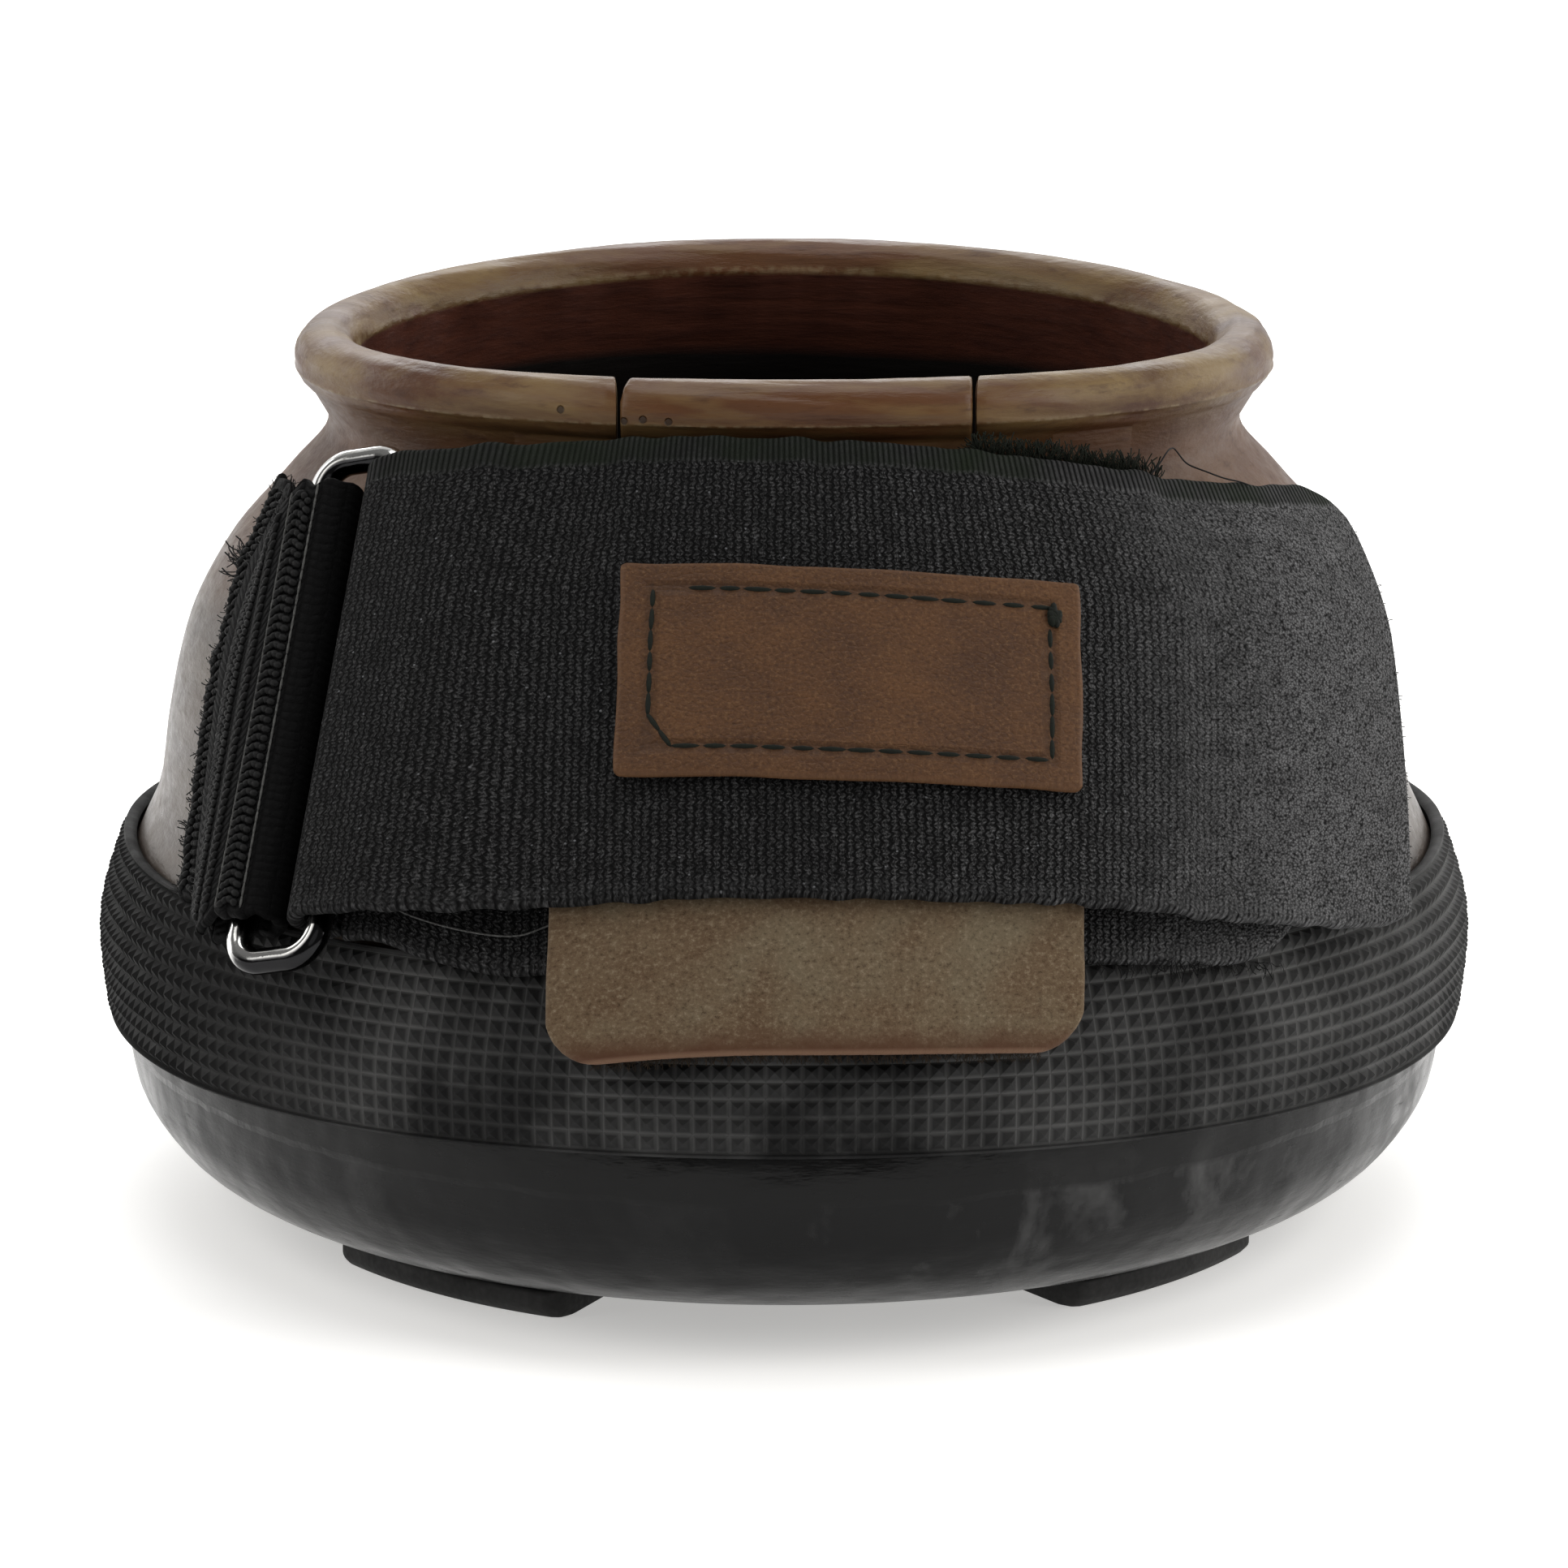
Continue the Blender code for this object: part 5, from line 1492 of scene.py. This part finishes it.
def make_patch_stitches(finish):
    low, high = PATCH_START + STITCH_INSET, PATCH_END - STITCH_INSET
    foot, top = PATCH_FOOT + STITCH_INSET, PATCH_FOOT + PATCH_HEIGHT - STITCH_INSET
    lines = [
        [(low + 0.0035, top), (high + 0.0006, top - 0.0003)],
        [(high, top), (high + 0.0001, foot)],
        [(high, foot), (low + 0.0022, foot)],
        [(low + 0.0022, foot), (low, foot + 0.0036)],
        [(low, foot + 0.0036), (low + 0.0001, top)],
    ]
    height, shape = PATCH_WALL - 0.00010, (0.00345, 0.00062, 0.35)
    return stitch_piece("patch_stitches", patch_place, lines, height, 0.00265, shape, finish, 4)


def make_thread_knot(finish):
    """The end of the patch's thread, tied off in a knot at its upper corner."""
    corner = (PATCH_END + 0.0005, PATCH_FOOT + PATCH_HEIGHT - 0.0008)
    spot = np.array(corner) - STITCH_INSET
    rng = np.random.default_rng(8)
    lines = []
    for _ in range(9):
        a = rng.uniform(-0.0005, 0.0005, 2)
        b = rng.uniform(-0.0005, 0.0005, 2) * (1.0, 3.2) - (0.0, 0.0007)
        lines.append([spot + a, spot + b])
    height, shape = PATCH_WALL + 0.0002, (0.0016, 0.00075, 0.3)
    return stitch_piece("thread_knot", patch_place, lines, height, 0.0009, shape, finish, 5)


def make_webbing_stitches(finish):
    foot, top = WEBBING_FOOT + 0.0008, WEBBING_TOP - 0.0006
    seams = ((0.0170, 0.0003), (0.0206, 0.0))
    lines = [[(at, foot), (at + bow, (foot + top) / 2), (at, top)] for at, bow in seams]
    height, shape = WEBBING_WALL + 0.0001, (0.00210, 0.00028, 0.30)
    return stitch_piece("webbing_stitches", ragged_place, lines, height, 0.0013, shape, finish, 7)


def make_beads(name, cords, height, shape, finish, seed):
    """Rows of knotted cord standing off the webbing, each at a length along it and with a lean."""
    lines = []
    for at, lean in cords:
        for start in np.arange(WEBBING_FOOT + 0.0012, WEBBING_TOP - 0.0012, 0.00098):
            lines.append([(at - lean, start), (at + lean, start + 0.0005)])
    return stitch_piece(name, ragged_place, lines, height, 0.0020, shape, finish, seed)


def loose_thread(name, place, path, finish, radius=0.00009):
    """A stray thread: a thin tube through points of a piece's map, each with its own height."""
    knots = np.array(path, float)
    share, fine = np.linspace(0, 1, len(knots)), np.linspace(0, 1, 7 * len(knots))
    smooth = np.stack([np.interp(fine, share, knots[:, k]) for k in range(3)], axis=1)
    for _ in range(4):
        smooth[1:-1] = (smooth[:-2] + 2 * smooth[1:-1] + smooth[2:]) / 4
    centres = place(smooth[:, 0], smooth[:, 1], smooth[:, 2])
    ahead = unit(np.gradient(centres, axis=0))
    side = unit(np.cross(ahead, (0.13, 0.21, 0.97)))
    up = np.cross(side, ahead)
    count = 5
    turns = (2 * pi * np.arange(count) / count)[:, None]
    rings = [c + radius * (np.cos(turns) * s + np.sin(turns) * u) for c, s, u in zip(centres, side, up)]
    total = len(rings) * count
    faces = [(face[0], *face[:0:-1]) for face in grid_faces(len(rings), count, wrap=True)]
    faces += [tuple(range(count)), tuple(range(total - 1, total - 1 - count, -1))]
    return new_piece(name, np.concatenate(rings), faces, finish)


def frayed_edge(name, place, start, end, wall, count, length, lean, finish, seed, scatter=0.45,
                thickness=0.00005):
    """Loose threads that leave an edge in a direction given on the piece's map."""
    rng = np.random.default_rng(seed)
    points = np.array((start, end), float)
    spots = traced(points, np.sort(rng.uniform(0, run_length(points)[-1], count)))
    depth = rng.uniform(0.15, 0.9, count) * wall
    at = place(*spots, depth)
    tangent = unit(place(spots[0] + lean[0], spots[1] + lean[1], depth) - at)
    outward = place(*spots, depth + OUTWARD) - at
    values = {"Length": length, "Thickness": thickness / length, "Scatter": scatter, "Seed": seed,
              "Finish": finish}
    return dotted_piece(name, at, tangent, outward, FRAYS, values)


# Assembly


def settle(obj, body_name, slot, *nodes):
    if body_name:
        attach(obj, body_name)
    if nodes:
        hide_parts(*nodes)
    return obj


def blend_from_ring(obj, place, start, length):
    """Bakes the piece's transform into its mesh. The ends it finds at a start along the ring and a length
    further on are not used.
    """
    ends = place(np.array([start, start + length]), np.full(2, STRAP_WIDTH / 2), np.zeros(2))
    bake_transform(obj)


def place_moulded():
    brown = brown_rubber()
    settle(make_shell(brown), "boot", "brown_rubber", "upper_shell")
    settle(make_tab(brown), "tab", "brown_rubber", "front_tab")
    settle(make_cup_sole(black_rubber()), "boot", "black_rubber", "outsole")
    settle(make_inner_pad(insole_felt()), "boot", "insole_felt", "insole")
    for tread, name in zip(make_tread_pads(tread_rubber()), PADS):
        settle(tread, "boot", "tread_rubber", "tread_pad_" + name)
    settle(make_grain_band(band_rubber()), "boot", "band_rubber", "foxing_band")


def place_sewn(dark_thread, pale_thread, cord):
    knit = strap_elastic()
    start = SEWN_START - RING_PLACE
    sewn = panel("sewn_strap", start, INNER_LENGTH, 0.0, STRAP_WIDTH, STRAP_WALL, sewn_place, knit,
                 corner=SEWN_CORNER, open_start=True)
    tail = BEND_SHIFT - GAP - RING_PLACE - FOLD.length
    free = panel("loose_strap", tail, FREE_LENGTH, 0.0, STRAP_WIDTH, STRAP_WALL, run_place, knit,
                 step=0.0007, corner=FREE_CORNER, open_start=True, foot_corner=FREE_FOOT_SHARE)
    settle(sewn, None, "strap_fabric", "inner_strap")
    settle(free, None, "strap_fabric", "strap_fold", "outer_strap")
    blend_from_ring(sewn, sewn_place, start, SEWN_BEND)
    blend_from_ring(free, free_place, BEND_SHIFT - RING_PLACE, PEEL_BEND)
    tape = panel("hook_tape", FREE_LENGTH - HOOK_LENGTH, FREE_LENGTH - HOOK_MARGIN, HOOK_MARGIN,
                 STRAP_WIDTH - HOOK_MARGIN, HOOK_WALL, hook_place, hook_tape(), step=0.0016,
                 corner=3 * HOOK_MARGIN, edge=0.0003)
    settle(tape, "free_strap", "hook_fabric", "hook_patch")
    patch = panel("leather_patch", PATCH_START, PATCH_END, PATCH_FOOT, PATCH_FOOT + PATCH_HEIGHT, PATCH_WALL,
                  patch_place, patch_leather(), step=0.0006, corner=PATCH_CORNER, edge=0.0005, edge_share=0.25)
    settle(patch, "free_strap", "patch_leather", "label_patch")
    settle(make_patch_stitches(dark_thread), "free_strap", "patch_leather")
    settle(make_thread_knot(dark_thread), "free_strap", "patch_leather")
    guard = panel("guard", GUARD_START, GUARD_END, -GUARD_OVERHANG, STRAP_WIDTH - GUARD_TOP_MARGIN, GUARD_WALL,
                  guard_place, guard_suede(), step=0.0008, corner=GUARD_CORNER, edge=0.0008, edge_share=0.15)
    settle(guard, "boot", "guard_leather", "guard_flap")
    settle(make_wire_ring(bright_wire()), "ring", "chrome", "strap_ring")
    webbing = panel("side_webbing", UPPER_PLY_START, WEBBING.length - LOWER_PLY_TRIM, WEBBING_FOOT,
                    WEBBING_TOP, WEBBING_WALL, ragged_place, corded_webbing(), step=0.0006, edge=0.0004)
    settle(webbing, "boot", "webbing_fabric", "webbing_loop")
    cords = ((0.0098, 0.0006), (0.0112, -0.0006), (0.0146, 0.0005), (0.0182, 0.0006), (0.0194, -0.0006))
    lower = [(WEBBING.length - inset, -0.0004) for inset in (0.0024, 0.0038, 0.0052)]
    sizes, lower_sizes = (0.00155, 0.00084, 0.35), (0.00140, 0.00076, 0.45)
    threads = (
        make_webbing_stitches(pale_thread),
        make_beads("webbing_beads", cords, WEBBING_WALL + 0.0001, sizes, cord, 9),
        make_beads("lower_webbing_beads", lower, -0.0001, lower_sizes, cord, 10),
    )
    for piece in threads:
        settle(piece, "boot", "webbing_fabric")


def place_frays(black, green, grey, brown):
    """Frayed edges by the sheet they leave. Each has its start and end on the sheet's map, height in the
    wall, count, length, lean, colour and seed, and some have a scatter and a thickness."""
    last = WEBBING.length - LOWER_PLY_TRIM - 0.0002
    foot, top, step = WEBBING_FOOT + 0.0004, WEBBING_TOP, UPPER_PLY_START
    inner, free, high = INNER_LENGTH - 0.0002, FREE_LENGTH - 0.0002, STRAP_WIDTH - 0.0002
    left, right, low = GUARD_START + 0.004, GUARD_END - 0.004, -GUARD_OVERHANG + 0.0001
    on, back, up, down = (0.001, 0.0), (-0.001, 0.0), (0.0, 0.001), (0.0, -0.001)
    webbing = (
        ("fray", (last, foot), (last, top - 0.0004), 1, 640, 0.0016, on, black, 11, 0.6, 0.00007),
        ("tuft", (last - 0.0003, top - 0.0112), (last - 0.0003, top - 0.0088), 1, 64, 0.0036, on, black, 14,
         0.65, 0.00009),
        ("top_fray", (step, top - 0.0003), (0.0150, top - 0.0003), 1, 260, 0.0013, up, black, 15, 0.7,
         0.00006),
        ("step_fray", (step + 0.0002, foot), (step + 0.0002, top - 0.0006), 1, 300, 0.0010, back, grey, 16,
         0.8, 0.00004),
    )
    sewn = (
        ("fray", (inner, 0.012), (inner, STRAP_WIDTH - 0.012), 1, 200, 0.0024, on, black, 12),
        ("foot_fray", (0.0290, 0.0002), (0.0520, 0.0002), 1, 130, 0.0020, down, black, 17, 0.9, 0.00006),
    )
    top_edge = ("fray", (0.0205, high), (0.0420, high), 0.4, 900, 0.0030, up, green, 18, 0.75, 0.00008)
    end_edge = ("fray", (free, 0.004), (free, STRAP_WIDTH - 0.006), 1, 420, 0.0008, on, black, 13)
    fuzz = ("fuzz", (left, low), (right, low), 0.5, 620, 0.0011, down, brown, 19, 0.8, 0.00004)
    for sheet, place, wall, body_name, slot, edges in (
        ("webbing", ragged_place, WEBBING_WALL, "boot", "webbing_fabric", webbing),
        ("sewn", sewn_place, STRAP_WALL, "boot", "strap_fabric", sewn),
        ("top", run_place, STRAP_WALL, "free_strap", "strap_fabric", [top_edge]),
        ("free", run_place, STRAP_WALL, "free_strap", "strap_fabric", [end_edge]),
        ("guard", guard_place, GUARD_WALL, "boot", "guard_leather", [fuzz]),
    ):
        for name, near, far, share, *rest in edges:
            settle(frayed_edge(f"{sheet}_{name}", place, near, far, share * wall, *rest), body_name, slot)
    low_path = ((-0.0405, 0.0052, 0.0020), (-0.0375, 0.0040, 0.0023), (-0.0310, 0.0036, 0.0024),
                (-0.0245, 0.0038, 0.0022), (-0.0200, 0.0056, 0.0020))
    high_path = ((0.0400, 0.0525, 0.0018), (0.0425, 0.0555, 0.0030), (0.0450, 0.0570, 0.0016),
                 (0.0462, 0.0552, 0.0012), (0.0488, 0.0535, 0.0019), (0.0530, 0.0522, 0.0020))
    settle(loose_thread("stray_thread_low", sewn_place, low_path, grey), "boot", "strap_fabric")
    settle(loose_thread("stray_thread_high", run_place, high_path, black), "free_strap", "strap_fabric")


# Room, light and camera


def make_floor(finish):
    """A floor that curves up into a backdrop behind the boot."""
    profile = [(-1.6, 0.0), (0.9, 0.0)]
    profile += [(0.9 + 0.6 * sin(turn), 0.6 - 0.6 * cos(turn)) for turn in np.linspace(0, pi / 2, 17)[1:]]
    profile.append((1.5, 2.4))
    columns = np.linspace(-2.4, 2.4, 9)
    points = [(x, y, z) for y, z in profile for x in columns]
    new_piece("studio_floor", points, grid_faces(len(profile), len(columns)), finish)


def aimed(obj, place, aim):
    obj.location = place
    obj.rotation_euler = (Vector(aim) - Vector(place)).to_track_quat("-Z", "Y").to_euler()
    return obj


def make_room():
    make_floor(pale_floor())
    world = bpy.data.worlds.new("pale_room")
    world.use_nodes = True
    background = world.node_tree.nodes["Background"].inputs
    background["Color"].default_value = (1.0, 0.985, 0.965, 1)
    background["Strength"].default_value = 0.20
    bpy.context.scene.world = world
    bpy.context.scene.view_settings.view_transform = "Standard"
    rim, window, white = (1.0, 0.99, 0.97), (1.0, 0.98, 0.95), (1, 1, 1)
    for name, place, width, height, power, colour in (
        ("rim_left", (-0.85, 0.45, 0.30), 0.55, 0.8, 2.4, rim),
        ("rim_right", (0.85, 0.45, 0.30), 0.55, 0.8, 3.4, rim),
        ("back_card", (0.0, 0.60, 0.40), 0.9, 0.22, 1.6, white),
        ("window_left", (-0.75, -0.35, 0.55), 0.5, 0.9, 3.4, window),
        ("window_right", (0.80, -0.30, 0.50), 0.5, 0.9, 5.2, window),
        ("softbox_top", (0.0, 0.1, 1.0), 0.9, 0.9, 5.5, white),
        ("front_fill", (0.0, -1.3, 0.7), 0.9, 0.9, 1.1, white),
    ):
        light = bpy.data.lights.new(name, "AREA")
        light.shape, light.size, light.size_y = "ELLIPSE", width, height
        light.energy, light.color = power, colour
        aimed(new_object(name, light), place, (0.0, 0.0, 0.05))


def make_camera():
    data = bpy.data.cameras.new("photo_view")
    data.sensor_width = 36.0
    data.lens = 36.0 * CAMERA_DISTANCE / CAMERA_FIELD
    data.clip_start = 0.01
    back = Vector((0.0, -cos(CAMERA_ELEVATION), sin(CAMERA_ELEVATION)))
    aim = Vector(CAMERA_AIM)
    bpy.context.scene.camera = aimed(new_object("photo_view", data), aim + back * CAMERA_DISTANCE, aim)


place_moulded()
dark_thread = thread_finish("dark_waxed_thread", (0.0060, 0.0082, 0.0050))
pale_thread = thread_finish("pale_thread", (0.085, 0.085, 0.082))
webbing_cord = thread_finish("webbing_cord", (0.0034, 0.0034, 0.0036), 0.65)
place_sewn(dark_thread, pale_thread, webbing_cord)
black_fibre = thread_finish("black_fibre", (0.0080, 0.0080, 0.0082), 0.8)
green_fibre = thread_finish("green_fibre", (0.0085, 0.0110, 0.0065), 0.8)
grey_fibre = thread_finish("grey_fibre", (0.090, 0.090, 0.088), 0.8)
brown_fibre = thread_finish("brown_fibre", (0.030, 0.020, 0.012), 0.8)
place_frays(black_fibre, green_fibre, grey_fibre, brown_fibre)
make_room()
make_camera()
